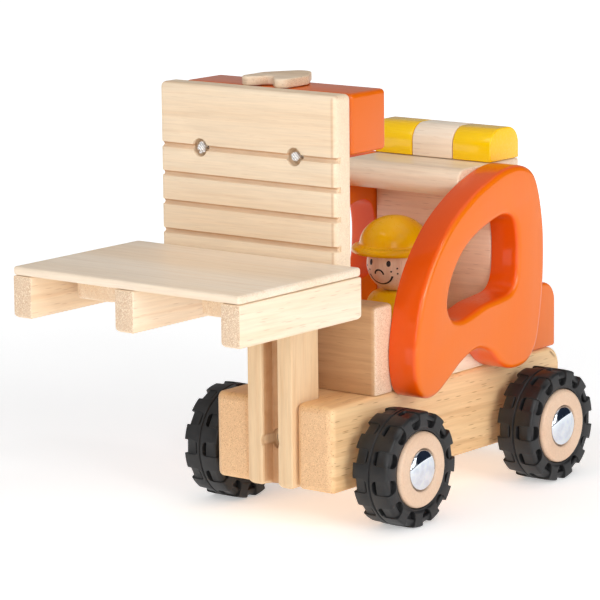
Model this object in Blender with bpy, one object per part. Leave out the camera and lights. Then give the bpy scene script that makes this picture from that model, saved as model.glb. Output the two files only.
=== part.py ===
"""Wooden toy forklift: chassis, mast, hand-wound fork carriage, cab, driver, pallet and four wheels.

Metres, +Z up. The floor is z = 0, the forks point to -Y and +X is the vehicle's left.
Pieces that touch are modelled GAP apart.
"""

import math

import bmesh
import bpy
from mathutils import Matrix, Vector

MM = 0.001
GAP = 0.3 * MM

# Wheels and axles
WHEEL_R = 25.0 * MM
FRONT_AXLE_Y = -6.0 * MM
REAR_AXLE_Y = 100.0 * MM
AXLE_R = 2.0 * MM
AXLE_END_X = 55.3 * MM
TYRE_IN_X = 36.7 * MM
TYRE_OUT_X = 55.1 * MM
HUB_R = 16.4 * MM
HUB_IN_X = 32.6 * MM
HUB_OUT_X = 56.1 * MM
HUB_RECESS_R = 9.4 * MM
HUB_RECESS_DEPTH = 3.0 * MM
CAP_R = 8.9 * MM
CAP_HEIGHT = 4.4 * MM
CAP_RIM = 2.0 * MM

# Chassis block and the slot between its front prongs
HALF_W = 31.5 * MM
CHASSIS_FRONT_Y = -37.4 * MM
CHASSIS_REAR_Y = 133.0 * MM
CHASSIS_BOTTOM_Z = 16.5 * MM
CHASSIS_TOP_Z = 53.8 * MM
CHASSIS_ROUND = 3.0 * MM
TAIL_ROUND = 9.0 * MM

# Mast, its guide groove and its screw
MAST_HALF_W = 11.9 * MM
MAST_FRONT_Y = -39.4 * MM
MAST_BACK_Y = -20.7 * MM
MAST_BOTTOM_Z = 16.3 * MM
GROOVE_HALF_W = 4.25 * MM
GROOVE_DEPTH = 7.5 * MM
SCREW_Z = 36.0 * MM
SCREW_HOLE_R = 4.9 * MM
SCREW_SEAT_DEPTH = 10.5 * MM
SCREW_HEAD_R = 3.8 * MM
SCREW_HEAD_T = 2.2 * MM
SCREW_SHANK_R = 1.75 * MM
SCREW_LENGTH = 26.0 * MM

# Head block, winding chamber and winder
HEAD_HALF_W = 44.4 * MM
HEAD_BACK_Y = -15.2 * MM
HEAD_BOTTOM_Z = 162.0 * MM
HEAD_TOP_Z = 187.5 * MM
CHAMBER_HALF_W = 30.0 * MM
CHAMBER_FRONT_Y = -34.4 * MM
CHAMBER_BACK_Y = -20.4 * MM
CHAMBER_TOP_Z = 181.0 * MM
WINDER_Y = -27.4 * MM
SHAFT_R = 3.0 * MM
DRUM_R = 4.0 * MM
DRUM_TOP_Z = 180.4 * MM
DRUM_BOTTOM_Z = 163.4 * MM
KNOB_T = 3.9 * MM
KNOB_HALF_W = 12.4 * MM
KNOB_HALF_D = 15.4 * MM
NOTCH_DEPTH = 7.6 * MM
NOTCH_HALF_W = 4.2 * MM

# Lift cords
CORD_R = 1.0 * MM
CORD_X = 25.0 * MM
GUIDE_PIN_X = 21.4 * MM
GUIDE_PIN_Z = 170.5 * MM
GUIDE_PIN_R = 1.5 * MM
WINDING_Z = 174.0 * MM

# Carriage: backrest plate, tongue and fork tines
PLATE_HALF_W = 46.9 * MM
PLATE_FRONT_Y = -52.9 * MM
PLATE_BACK_Y = -42.1 * MM
PLATE_BOTTOM_Z = 97.0 * MM
PLATE_TOP_Z = 188.2 * MM
PLATE_ROUND = 2.4 * MM
PLATE_GROOVES = 4
TOP_PLATE_GROOVE_Z = 161.6 * MM
PLATE_GROOVE_STEP = 12.25 * MM
PLATE_GROOVE_R = 1.0 * MM
KNOT_HOLE_R = 3.9 * MM
KNOT_HOLE_DEPTH = 6.0 * MM
CORD_HOLE_R = 1.5 * MM
TONGUE_HALF_W = 3.9 * MM
TONGUE_REACH = 9.4 * MM
TONGUE_BOTTOM_Z = 112.0 * MM
TONGUE_TOP_Z = 158.0 * MM
TINE_IN_X = 21.0 * MM
TINE_OUT_X = 46.0 * MM
TINE_TIP_Y = -111.5 * MM
TINE_BOTTOM_Z = 104.3 * MM
TINE_TOP_Z = 115.2 * MM
TINE_TIP_ROUND = 5.5 * MM
DOWEL_R = 2.5 * MM
DOWEL_X = (27.5 * MM, 39.5 * MM)
DOWEL_FRONT_Y = -68.0 * MM

# Pallet
PALLET_HALF_W = 59.8 * MM
PALLET_FRONT_Y = -132.4 * MM
PALLET_BOTTOM_Z = 97.6 * MM
PALLET_TOP_Z = 119.1 * MM
SHEET_T = 3.6 * MM
RUNNER_W = 9.8 * MM

# Cab blocks
CAB_BASE_Z = CHASSIS_TOP_Z + GAP
DASH_FRONT_Y = -7.3 * MM
DASH_BACK_Y = 6.5 * MM
DASH_TOP_Z = 92.5 * MM
FLOOR_TOP_Z = 68.0 * MM
SEAT_Y = 50.0 * MM
SEAT_R = 13.4 * MM
SEAT_DEPTH = 7.5 * MM
WALL_FRONT_Y = 78.5 * MM
WALL_BACK_Y = 99.7 * MM
REAR_BLOCK_BACK_Y = 129.5 * MM
REAR_BLOCK_TOP_Z = 84.2 * MM
ROOF_FRONT_Y = 53.4 * MM
ROOF_BOTTOM_Z = 130.9 * MM
ROOF_TOP_Z = 143.6 * MM
LIGHT_FRONT_Y = 78.0 * MM
LIGHT_BACK_Y = 100.0 * MM
LIGHT_TOP_Z = 158.3 * MM
LIGHT_JOINT_X = 11.0 * MM
LIGHT_ROUND = 8.0 * MM

# Side panels: outline and window as (y, z) points on closed smooth curves, in millimetres
PANEL_IN_X = HALF_W + GAP
PANEL_OUT_X = 46.6 * MM
PANEL_ROUND = 2.6 * MM
PANEL_OUTLINE = (
    (2.5, 75), (2.9, 62), (6.1, 54), (12.5, 51.3), (19.6, 52.8), (28.1, 57.9), (37.1, 63.5), (48, 67),
    (57.6, 64.6), (65.6, 57.9), (74, 54.2), (84.9, 54.8), (92.4, 61.2), (95.7, 71.7), (98.2, 86.7),
    (99.1, 100.6), (98.5, 115.6), (95.3, 130.6), (90.7, 139.3), (82.4, 143.4), (71, 143.5), (58, 140),
    (44, 134), (28, 123.5), (15, 109), (7, 94),
)
WINDOW_OUTLINE = (
    (26.3, 90.7), (29.6, 101.1), (37.1, 110.6), (46, 116.6), (57, 120.9), (68.2, 123.2), (75.6, 120.5),
    (78, 113), (78.3, 104), (77, 94), (72.6, 88.6), (64, 87), (54, 86), (45, 83.6), (36.3, 81.9),
    (29, 83.8),
)

# Driver
BODY_R = 13.0 * MM
BODY_BASE_Z = FLOOR_TOP_Z - SEAT_DEPTH + GAP
BODY_TOP_Z = 88.3 * MM
HEAD_R = 12.4 * MM
HEAD_Z = 100.3 * MM
HELMET_R = 15.6 * MM
BRIM_R = 19.2 * MM
BRIM_BOTTOM_Z = 105.2 * MM
BRIM_TOP_Z = 108.6 * MM
HELMET_TOP_Z = 121.6 * MM

ROUND_STEPS = 32
SMALL_STEPS = 16


def clear_scene():
    for obj in list(bpy.data.objects):
        bpy.data.objects.remove(obj, do_unlink=True)


def material(name, colour, roughness, metallic=0.0):
    """Return the named Principled material, made on first use."""
    found = bpy.data.materials.get(name)
    if found:
        return found
    made = bpy.data.materials.new(name)
    made.use_nodes = True
    shader = made.node_tree.nodes["Principled BSDF"]
    shader.inputs["Base Color"].default_value = (*colour, 1.0)
    shader.inputs["Roughness"].default_value = roughness
    shader.inputs["Metallic"].default_value = metallic
    return made


def pale_wood():
    return material("pale_wood", (0.86, 0.70, 0.52), 0.55)


def orange_paint():
    return material("orange_paint", (0.88, 0.22, 0.03), 0.3)


def yellow_paint():
    return material("yellow_paint", (0.94, 0.58, 0.02), 0.35)


def rubber():
    return material("black_rubber", (0.03, 0.03, 0.03), 0.75)


def steel():
    return material("steel", (0.75, 0.75, 0.76), 0.2, 1.0)


def white_cord():
    return material("white_cord", (0.9, 0.88, 0.84), 0.8)


def link(name, mesh, finish):
    obj = bpy.data.objects.new(name, mesh)
    mesh.materials.append(finish)
    bpy.context.scene.collection.objects.link(obj)
    return obj


def mesh_from(name, points, faces):
    """Return a mesh of the points and faces, with its faces turned outwards."""
    mesh = bpy.data.meshes.new(name)
    mesh.from_pydata([tuple(p) for p in points], [], faces)
    bm = bmesh.new()
    bm.from_mesh(mesh)
    bmesh.ops.remove_doubles(bm, verts=bm.verts, dist=0.005 * MM)
    bmesh.ops.recalc_face_normals(bm, faces=bm.faces)
    bm.to_mesh(mesh)
    bm.free()
    return mesh


def bevel(obj, width, segments=2):
    modifier = obj.modifiers.new("rounded_edges", "BEVEL")
    modifier.width = width
    modifier.segments = segments
    modifier.limit_method = "ANGLE"
    modifier.angle_limit = math.radians(40)
    return obj


def block(name, low, high, finish, rounding=0.8 * MM, segments=2):
    """Return a box between two corners, its mesh centred on the object's origin."""
    low = Vector(low)
    high = Vector(high)
    mesh = bpy.data.meshes.new(name)
    bm = bmesh.new()
    bmesh.ops.create_cube(bm, size=1.0)
    bmesh.ops.scale(bm, vec=high - low, verts=bm.verts)
    bm.to_mesh(mesh)
    bm.free()
    obj = link(name, mesh, finish)
    obj.location = (low + high) / 2
    if rounding:
        bevel(obj, rounding, segments)
    return obj


def lathe(name, profile, finish, axis="Z", steps=ROUND_STEPS):
    """Return a turned solid from (radius, height) points that start and end on the axis."""
    points = []
    rings = []
    for radius, height in profile:
        if radius == 0:
            rings.append([len(points)])
            points.append(Vector((0, 0, height)))
            continue
        rings.append(list(range(len(points), len(points) + steps)))
        for step in range(steps):
            turn = 2 * math.pi * step / steps
            points.append(Vector((radius * math.cos(turn), radius * math.sin(turn), height)))
    faces = []
    for lower, upper in zip(rings, rings[1:]):
        for step in range(steps):
            corners = [
                lower[step % len(lower)],
                lower[(step + 1) % len(lower)],
                upper[(step + 1) % len(upper)],
                upper[step % len(upper)],
            ]
            unique = list(dict.fromkeys(corners))
            if len(unique) > 2:
                faces.append(unique)
    turned = {"X": Matrix.Rotation(math.pi / 2, 3, "Y"), "Y": Matrix.Rotation(-math.pi / 2, 3, "X")}
    spin = turned.get(axis, Matrix.Identity(3))
    return link(name, mesh_from(name, [spin @ p for p in points], faces), finish)


def ring(name, profile, finish, steps=ROUND_STEPS):
    """Return a ring about X from a closed loop of (radius, x) points."""
    points = []
    for step in range(steps):
        turn = 2 * math.pi * step / steps
        for radius, x in profile:
            points.append((x, radius * math.cos(turn), radius * math.sin(turn)))
    count = len(profile)
    faces = []
    for step in range(steps):
        after = (step + 1) % steps
        for i in range(count):
            j = (i + 1) % count
            faces.append((step * count + i, step * count + j, after * count + j, after * count + i))
    return link(name, mesh_from(name, points, faces), finish)


def prism(name, outline, low, high, axis, finish):
    """Return an outline extruded along X or Z between two values. An X outline is (y, z), a Z one (x, y)."""
    place = {"X": lambda p, along: (along, p[0], p[1]), "Z": lambda p, along: (p[0], p[1], along)}[axis]
    count = len(outline)
    points = [place(p, low) for p in outline] + [place(p, high) for p in outline]
    sides = [(i, (i + 1) % count, count + (i + 1) % count, count + i) for i in range(count)]
    caps = [tuple(range(count)), tuple(range(2 * count - 1, count - 1, -1))]
    return link(name, mesh_from(name, points, sides + caps), finish)


def cutter(obj):
    obj.hide_render = True
    obj.display_type = "WIRE"
    return obj


def rod(name, start, end, radius, finish, steps=SMALL_STEPS):
    """Return a cylinder between two points that lie on a line along one axis."""
    start = Vector(start)
    run = Vector(end) - start
    axis = "XYZ"[max(range(3), key=lambda i: abs(run[i]))]
    obj = lathe(name, [(0, 0), (radius, 0), (radius, run.length), (0, run.length)], finish, axis, steps)
    obj.location = start
    return obj


def drill(target, start, end, radius, steps=SMALL_STEPS):
    """Cut a round hole from start to end, which lie on a line along a positive axis."""
    tool = rod(f"{target.name}_drill", start, end, radius, steel(), steps)
    cut(target, tool)


def cut(target, tool):
    """Cut the tool out of the target, then remove the tool."""
    cutter(tool)
    modifier = target.modifiers.new("cut", "BOOLEAN")
    modifier.operation = "DIFFERENCE"
    modifier.solver = "EXACT"
    modifier.object = tool
    bpy.context.view_layer.update()
    depsgraph = bpy.context.evaluated_depsgraph_get()
    mesh = bpy.data.meshes.new_from_object(target.evaluated_get(depsgraph))
    target.modifiers.clear()
    target.data = mesh
    bpy.data.objects.remove(tool, do_unlink=True)


def smooth_loop(points, steps=3):
    """Return a closed Catmull-Rom curve through (a, b) millimetre points, in metres."""
    count = len(points)
    curve = []
    for i in range(count):
        before, here, there, after = (Vector(points[(i + k) % count]) for k in (-1, 0, 1, 2))
        for step in range(steps):
            t = step / steps
            bend = 2 * here + (there - before) * t
            bend += (2 * before - 5 * here + 4 * there - after) * t * t
            bend += (3 * here - before - 3 * there + after) * t * t * t
            curve.append(bend * 0.5 * MM)
    return curve


def corner_arc(centre, radius, start_degrees, end_degrees, steps=5):
    """Return points of an arc, both ends included."""
    arc = []
    for step in range(steps + 1):
        turn = math.radians(start_degrees + (end_degrees - start_degrees) * step / steps)
        arc.append((centre[0] + radius * math.cos(turn), centre[1] + radius * math.sin(turn)))
    return arc


def cord(name, route, finish):
    """Return a closed tube of cord along a route of points."""
    curve = bpy.data.curves.new(name, "CURVE")
    curve.dimensions = "3D"
    curve.bevel_depth = CORD_R
    curve.bevel_resolution = 2
    curve.use_fill_caps = True
    spline = curve.splines.new("POLY")
    spline.points.add(len(route) - 1)
    for point, place in zip(spline.points, route):
        point.co = (*place, 1.0)
    obj = bpy.data.objects.new(name, curve)
    curve.materials.append(finish)
    bpy.context.scene.collection.objects.link(obj)
    return obj


def under(parent, *pieces):
    """Parent pieces to an empty without moving them."""
    bpy.context.view_layer.update()
    for piece in pieces:
        piece.parent = parent
        piece.matrix_parent_inverse = parent.matrix_world.inverted()


def pivot(name, location):
    empty = bpy.data.objects.new(name, None)
    empty.location = location
    bpy.context.scene.collection.objects.link(empty)
    return empty


def build_chassis():
    """Chassis block with the mast slot, rounded tail, axle bores and the mast screw's pilot hole."""
    tail_centre = (CHASSIS_REAR_Y - TAIL_ROUND, CHASSIS_TOP_Z - TAIL_ROUND)
    outline = [(CHASSIS_FRONT_Y, CHASSIS_BOTTOM_Z), (CHASSIS_REAR_Y, CHASSIS_BOTTOM_Z)]
    outline += corner_arc(tail_centre, TAIL_ROUND, 0, 90)
    outline.append((CHASSIS_FRONT_Y, CHASSIS_TOP_Z))
    chassis = prism("chassis", outline, -HALF_W, HALF_W, "X", pale_wood())
    slot_half = MAST_HALF_W + GAP
    slot = block(
        "slot",
        (-slot_half, CHASSIS_FRONT_Y - CHASSIS_ROUND, CHASSIS_BOTTOM_Z - CHASSIS_ROUND),
        (slot_half, MAST_BACK_Y + GAP, CHASSIS_TOP_Z + CHASSIS_ROUND),
        steel(),
        rounding=0,
    )
    cut(chassis, slot)
    bevel(chassis, 2.2 * MM)
    reach = HALF_W + CHASSIS_ROUND
    for axle_y in (FRONT_AXLE_Y, REAR_AXLE_Y):
        drill(chassis, (-reach, axle_y, WHEEL_R), (reach, axle_y, WHEEL_R), AXLE_R + GAP)
    screw_end = MAST_FRONT_Y + SCREW_SEAT_DEPTH + SCREW_LENGTH
    pilot_end = (0, screw_end + GAP, SCREW_Z)
    drill(chassis, (0, MAST_BACK_Y - GAP, SCREW_Z), pilot_end, SCREW_SHANK_R + GAP)


def build_mast():
    """Mast column with its guide groove, screw seat and the socket for the winder's lower end."""
    mast = block(
        "mast",
        (-MAST_HALF_W, MAST_FRONT_Y, MAST_BOTTOM_Z),
        (MAST_HALF_W, MAST_BACK_Y, HEAD_BOTTOM_Z - GAP),
        pale_wood(),
        rounding=0,
    )
    groove = block(
        "groove",
        (-GROOVE_HALF_W, MAST_FRONT_Y - GROOVE_DEPTH, 0),
        (GROOVE_HALF_W, MAST_FRONT_Y + GROOVE_DEPTH, HEAD_TOP_Z),
        steel(),
        rounding=0,
    )
    cut(mast, groove)
    bevel(mast, 1.2 * MM)
    seat_y = MAST_FRONT_Y + SCREW_SEAT_DEPTH
    drill(mast, (0, MAST_FRONT_Y - SCREW_SEAT_DEPTH, SCREW_Z), (0, seat_y, SCREW_Z), SCREW_HOLE_R, 28)
    drill(mast, (0, seat_y - GAP, SCREW_Z), (0, MAST_BACK_Y + GAP, SCREW_Z), SCREW_SHANK_R + GAP)
    socket_bottom = HEAD_BOTTOM_Z - 8 * MM
    drill(mast, (0, WINDER_Y, socket_bottom), (0, WINDER_Y, HEAD_TOP_Z), SHAFT_R + GAP)
    head_y = seat_y - SCREW_HEAD_T
    profile = [
        (0, 0),
        (SCREW_HEAD_R * 0.75, 0),
        (SCREW_HEAD_R, SCREW_HEAD_T * 0.5),
        (SCREW_HEAD_R, SCREW_HEAD_T - GAP),
        (SCREW_SHANK_R, SCREW_HEAD_T - GAP),
        (SCREW_SHANK_R, SCREW_LENGTH - SCREW_SHANK_R),
        (0, SCREW_LENGTH),
    ]
    screw = lathe("mast_screw", profile, steel(), "Y", SMALL_STEPS)
    screw.location = (0, head_y, SCREW_Z)


def build_head_block():
    """Head block, hollowed from below for the winding drum, with two guide pins across the hollow."""
    head = block(
        "head_block",
        (-HEAD_HALF_W, MAST_FRONT_Y, HEAD_BOTTOM_Z),
        (HEAD_HALF_W, HEAD_BACK_Y, HEAD_TOP_Z),
        orange_paint(),
        rounding=1.6 * MM,
    )
    chamber = block(
        "chamber",
        (-CHAMBER_HALF_W, CHAMBER_FRONT_Y, HEAD_BOTTOM_Z - 5 * MM),
        (CHAMBER_HALF_W, CHAMBER_BACK_Y, CHAMBER_TOP_Z),
        steel(),
        rounding=0,
    )
    cut(head, chamber)
    above = HEAD_TOP_Z + 5 * MM
    drill(head, (0, WINDER_Y, CHAMBER_TOP_Z - GAP), (0, WINDER_Y, above), SHAFT_R + GAP)
    for side, name in ((1, "left"), (-1, "right")):
        pin_x = side * GUIDE_PIN_X
        rod(
            f"guide_pin_{name}",
            (pin_x, CHAMBER_FRONT_Y + GAP, GUIDE_PIN_Z),
            (pin_x, CHAMBER_BACK_Y - GAP, GUIDE_PIN_Z),
            GUIDE_PIN_R,
            steel(),
        )


def knob_outline():
    """Heart-like knob seen from above: two front lobes with a notch between them, narrowing to the back."""
    lobe_r = 4.5 * MM
    back_r = 6.0 * MM
    lobe_x = KNOB_HALF_W - lobe_r
    lobe_y = lobe_r - KNOB_HALF_D
    notch_y = NOTCH_DEPTH - KNOB_HALF_D
    outline = [(0, notch_y), (NOTCH_HALF_W * 0.7, notch_y - NOTCH_DEPTH * 0.25)]
    outline.append((NOTCH_HALF_W, notch_y - NOTCH_DEPTH * 0.7))
    outline += corner_arc((lobe_x, lobe_y), lobe_r, -85, 0)
    outline += corner_arc((lobe_x, 0), lobe_r, 0, 35, 2)
    outline += corner_arc((0, KNOB_HALF_D - back_r), back_r, 35, 90)
    return outline + [(-x, y) for x, y in reversed(outline[1:-1])]


def build_winder():
    """Knob, winding shaft with its drum, and the cord already wound on it, all turning about Z."""
    axis = pivot("winder_axis", (0, WINDER_Y, HEAD_TOP_Z))
    knob_bottom = HEAD_TOP_Z + GAP
    knob = prism("knob", knob_outline(), knob_bottom, knob_bottom + KNOB_T, "Z", pale_wood())
    knob.location.y = WINDER_Y
    bevel(knob, 0.5 * MM)
    profile = [
        (0, HEAD_BOTTOM_Z - 7 * MM),
        (SHAFT_R, HEAD_BOTTOM_Z - 7 * MM),
        (SHAFT_R, DRUM_BOTTOM_Z),
        (DRUM_R, DRUM_BOTTOM_Z),
        (DRUM_R, DRUM_TOP_Z),
        (SHAFT_R, DRUM_TOP_Z),
        (SHAFT_R, HEAD_TOP_Z),
        (0, HEAD_TOP_Z),
    ]
    shaft = lathe("winding_shaft", profile, pale_wood(), steps=SMALL_STEPS)
    shaft.location.y = WINDER_Y
    inner = DRUM_R + GAP
    outer = inner + 2 * CORD_R
    half = 2.6 * MM
    wound = [(inner, -half), (outer, -half), (outer, half), (inner, half)]
    winding = ring("cord_winding", wound, white_cord(), 24)
    winding.rotation_euler = (0, math.pi / 2, 0)
    winding.location = (0, WINDER_Y, WINDING_Z)
    under(axis, knob, shaft, winding)


def lift_cord_route(side):
    """Points of one cord from the winding over its guide pin, then out to the back of the plate."""
    start = Vector((side * (DRUM_R + 2 * CORD_R + 3 * GAP), WINDER_Y, WINDING_Z))
    turn_r = GUIDE_PIN_R + CORD_R + GAP
    route = [start, Vector((side * 14 * MM, WINDER_Y, WINDING_Z - 0.4 * MM))]
    for degrees in (90, 60, 30, 0):
        turn = math.radians(degrees)
        x = side * (GUIDE_PIN_X + turn_r * math.cos(turn))
        route.append(Vector((x, WINDER_Y, GUIDE_PIN_Z + turn_r * math.sin(turn))))
    under_edge = HEAD_BOTTOM_Z - CORD_R
    route.append(Vector((side * CORD_X, WINDER_Y - 1.0 * MM, under_edge + 4.5 * MM)))
    route.append(Vector((side * CORD_X, WINDER_Y - 4.0 * MM, under_edge - 0.2 * MM)))
    route.append(Vector((side * CORD_X, WINDER_Y - 8.0 * MM, under_edge - 1.0 * MM)))
    route.append(Vector((side * CORD_X, MAST_FRONT_Y, under_edge - 0.6 * MM)))
    route.append(Vector((side * CORD_X, PLATE_BACK_Y + GAP, TOP_PLATE_GROOVE_Z)))
    return route


def build_carriage():
    """Backrest plate, tongue, tines, dowels and the cord ends, all sliding along Z on the mast."""
    axis = pivot("carriage_slide", (0, MAST_FRONT_Y, PLATE_BOTTOM_Z))
    plate = block(
        "backrest_plate",
        (-PLATE_HALF_W, PLATE_FRONT_Y, PLATE_BOTTOM_Z),
        (PLATE_HALF_W, PLATE_BACK_Y, PLATE_TOP_Z),
        pale_wood(),
        rounding=PLATE_ROUND,
    )
    for row in range(PLATE_GROOVES):
        groove_z = TOP_PLATE_GROOVE_Z - row * PLATE_GROOVE_STEP
        reach = PLATE_HALF_W + GAP
        drill(plate, (-reach, PLATE_FRONT_Y, groove_z), (reach, PLATE_FRONT_Y, groove_z), PLATE_GROOVE_R, 8)
    tine_y = PLATE_FRONT_Y - GAP
    pieces = [plate]
    for side, name in ((1, "left"), (-1, "right")):
        hole_x = side * CORD_X
        hole_end = PLATE_FRONT_Y + KNOT_HOLE_DEPTH
        hole_z = TOP_PLATE_GROOVE_Z
        drill(plate, (hole_x, PLATE_FRONT_Y - GAP, hole_z), (hole_x, hole_end, hole_z), KNOT_HOLE_R, 24)
        drill(plate, (hole_x, hole_end - GAP, hole_z), (hole_x, PLATE_BACK_Y + GAP, hole_z), CORD_HOLE_R)
        tine = block(
            f"fork_tine_{name}",
            (min(side * TINE_IN_X, side * TINE_OUT_X), TINE_TIP_Y, TINE_BOTTOM_Z),
            (max(side * TINE_IN_X, side * TINE_OUT_X), tine_y, TINE_TOP_Z),
            pale_wood(),
            rounding=0,
        )
        round_tip(tine)
        pieces.append(tine)
        for dowel_x, place in zip(DOWEL_X, ("inner", "outer")):
            at_x = side * dowel_x
            middle_z = (TINE_BOTTOM_Z + TINE_TOP_Z) / 2
            back = PLATE_BACK_Y + GAP
            drill(plate, (at_x, PLATE_FRONT_Y - GAP, middle_z), (at_x, back, middle_z), DOWEL_R + GAP)
            drill(tine, (at_x, DOWEL_FRONT_Y - GAP, middle_z), (at_x, tine_y + GAP, middle_z), DOWEL_R + GAP)
            start = (at_x, DOWEL_FRONT_Y, middle_z)
            end = (at_x, PLATE_BACK_Y - GAP, middle_z)
            pieces.append(rod(f"fork_dowel_{name}_{place}", start, end, DOWEL_R, pale_wood()))
        pieces.append(lift_knot(side, name))
    tongue = block(
        "guide_tongue",
        (-TONGUE_HALF_W, PLATE_BACK_Y + GAP, TONGUE_BOTTOM_Z),
        (TONGUE_HALF_W, PLATE_BACK_Y + GAP + TONGUE_REACH, TONGUE_TOP_Z),
        pale_wood(),
        rounding=0.6 * MM,
    )
    pieces.append(tongue)
    under(axis, *pieces)


def round_tip(tine):
    """Round a tine's two upright corners at the tip and soften its other edges."""
    bm = bmesh.new()
    bm.from_mesh(tine.data)
    upright = [
        edge
        for edge in bm.edges
        if all(v.co.y < 0 for v in edge.verts) and abs(edge.verts[0].co.z - edge.verts[1].co.z) > GAP
    ]
    bmesh.ops.bevel(bm, geom=upright, offset=TINE_TIP_ROUND, segments=5, profile=0.5, affect="EDGES")
    bm.to_mesh(tine.data)
    bm.free()
    bevel(tine, 0.8 * MM)


def lift_knot(side, name):
    """Stopper knot in its hole in the plate's face, with its cord running back through the plate."""
    ball_r = 3.3 * MM
    ball_y = PLATE_FRONT_Y + 2.2 * MM
    tail = PLATE_BACK_Y - GAP - ball_y
    profile = [(0, -ball_r)]
    profile += [(ball_r * math.cos(a), ball_r * math.sin(a)) for a in (-0.9, -0.45, 0.0, 0.45, 0.9)]
    profile += [(CORD_R, ball_r * 0.95), (CORD_R, tail), (0, tail)]
    knot = lathe(f"lift_knot_{name}", profile, white_cord(), "Y", 16)
    knot.location = (side * CORD_X, ball_y, TOP_PLATE_GROOVE_Z)
    return knot


def build_pallet():
    """Loose pallet: a thin sheet on three runners, lifted by the tines and slid off along -Y."""
    axis = pivot("pallet_slide", (0, PLATE_FRONT_Y, PALLET_BOTTOM_Z))
    back_y = PLATE_FRONT_Y - GAP
    sheet_bottom = PALLET_TOP_Z - SHEET_T
    sheet = block(
        "pallet_sheet",
        (-PALLET_HALF_W, PALLET_FRONT_Y, sheet_bottom),
        (PALLET_HALF_W, back_y, PALLET_TOP_Z),
        pale_wood(),
        rounding=0.9 * MM,
    )
    pieces = [sheet]
    middle = PALLET_HALF_W - RUNNER_W / 2
    for x, name in ((middle, "left"), (0, "middle"), (-middle, "right")):
        runner = block(
            f"pallet_runner_{name}",
            (x - RUNNER_W / 2, PALLET_FRONT_Y + GAP, PALLET_BOTTOM_Z),
            (x + RUNNER_W / 2, back_y, sheet_bottom - GAP),
            pale_wood(),
            rounding=1.4 * MM,
        )
        pieces.append(runner)
    under(axis, *pieces)


def build_cab_blocks():
    """Dash, floor with the driver's socket, rear wall and rear block."""
    block(
        "dash_block",
        (-HALF_W, DASH_FRONT_Y, CAB_BASE_Z),
        (HALF_W, DASH_BACK_Y, DASH_TOP_Z),
        pale_wood(),
        rounding=2.0 * MM,
        segments=3,
    )
    floor = block(
        "cab_floor",
        (-HALF_W, DASH_BACK_Y + GAP, CAB_BASE_Z),
        (HALF_W, WALL_FRONT_Y - GAP, FLOOR_TOP_Z),
        pale_wood(),
        rounding=0.6 * MM,
    )
    socket_bottom = FLOOR_TOP_Z - SEAT_DEPTH
    drill(floor, (0, SEAT_Y, socket_bottom), (0, SEAT_Y, FLOOR_TOP_Z + SEAT_DEPTH), SEAT_R, ROUND_STEPS)
    block(
        "rear_wall",
        (-HALF_W, WALL_FRONT_Y, CAB_BASE_Z),
        (HALF_W, WALL_BACK_Y, ROOF_BOTTOM_Z - GAP),
        pale_wood(),
        rounding=0.6 * MM,
    )
    round_r = 9.0 * MM
    front_y = WALL_BACK_Y + GAP
    centre = (REAR_BLOCK_BACK_Y - round_r, REAR_BLOCK_TOP_Z - round_r)
    outline = [(front_y, CAB_BASE_Z), (REAR_BLOCK_BACK_Y, CAB_BASE_Z)]
    outline += corner_arc(centre, round_r, 0, 90)
    outline.append((front_y, REAR_BLOCK_TOP_Z))
    bevel(prism("rear_block", outline, -HALF_W, HALF_W, "X", orange_paint()), 1.2 * MM)


def build_roof():
    """Roof board with its rounded front, and the light bar in three segments."""
    half_t = (ROOF_TOP_Z - ROOF_BOTTOM_Z) / 2
    nose = corner_arc((ROOF_FRONT_Y + half_t, ROOF_BOTTOM_Z + half_t), half_t, 90, 270, 10)
    outline = nose + [(LIGHT_BACK_Y, ROOF_BOTTOM_Z), (LIGHT_BACK_Y, ROOF_TOP_Z)]
    bevel(prism("roof", outline, -HALF_W, HALF_W, "X", pale_wood()), 0.6 * MM)
    base_z = ROOF_TOP_Z + GAP
    corner_z = LIGHT_TOP_Z - LIGHT_ROUND
    section = [(LIGHT_FRONT_Y, base_z), (LIGHT_BACK_Y, base_z)]
    section += corner_arc((LIGHT_BACK_Y - LIGHT_ROUND, corner_z), LIGHT_ROUND, 0, 90, 6)
    section += corner_arc((LIGHT_FRONT_Y + LIGHT_ROUND, corner_z), LIGHT_ROUND, 90, 180, 6)
    joint = LIGHT_JOINT_X
    spans = (
        ("light_bar_left", joint + GAP / 2, HALF_W, yellow_paint()),
        ("light_bar_middle", GAP / 2 - joint, joint - GAP / 2, pale_wood()),
        ("light_bar_right", -HALF_W, -joint - GAP / 2, yellow_paint()),
    )
    for name, low, high, finish in spans:
        bevel(prism(name, section, low, high, "X", finish), 0.5 * MM)


def build_side_panels():
    """Two mirrored side panels with rounded outer edges and a window."""
    for side, name in ((1, "left"), (-1, "right")):
        low = min(side * PANEL_IN_X, side * PANEL_OUT_X)
        high = max(side * PANEL_IN_X, side * PANEL_OUT_X)
        panel = prism(f"side_panel_{name}", smooth_loop(PANEL_OUTLINE), low, high, "X", orange_paint())
        past = 5 * MM
        window = prism("window", smooth_loop(WINDOW_OUTLINE), low - past, high + past, "X", steel())
        cut(panel, window)
        round_outer_edges(panel, side * PANEL_OUT_X)


def round_outer_edges(panel, outer_x):
    """Round the edges of a panel's outer face, both round the outline and round the window."""
    bm = bmesh.new()
    bm.from_mesh(panel.data)
    bmesh.ops.remove_doubles(bm, verts=bm.verts, dist=0.005 * MM)
    rim = []
    for edge in bm.edges:
        on_face = all(abs(v.co.x - outer_x) < GAP for v in edge.verts)
        if on_face and edge.is_manifold and edge.calc_face_angle() > math.radians(60):
            rim.append(edge)
    bmesh.ops.bevel(bm, geom=rim, offset=PANEL_ROUND, segments=2, profile=0.5, affect="EDGES")
    bm.to_mesh(panel.data)
    bm.free()


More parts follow.
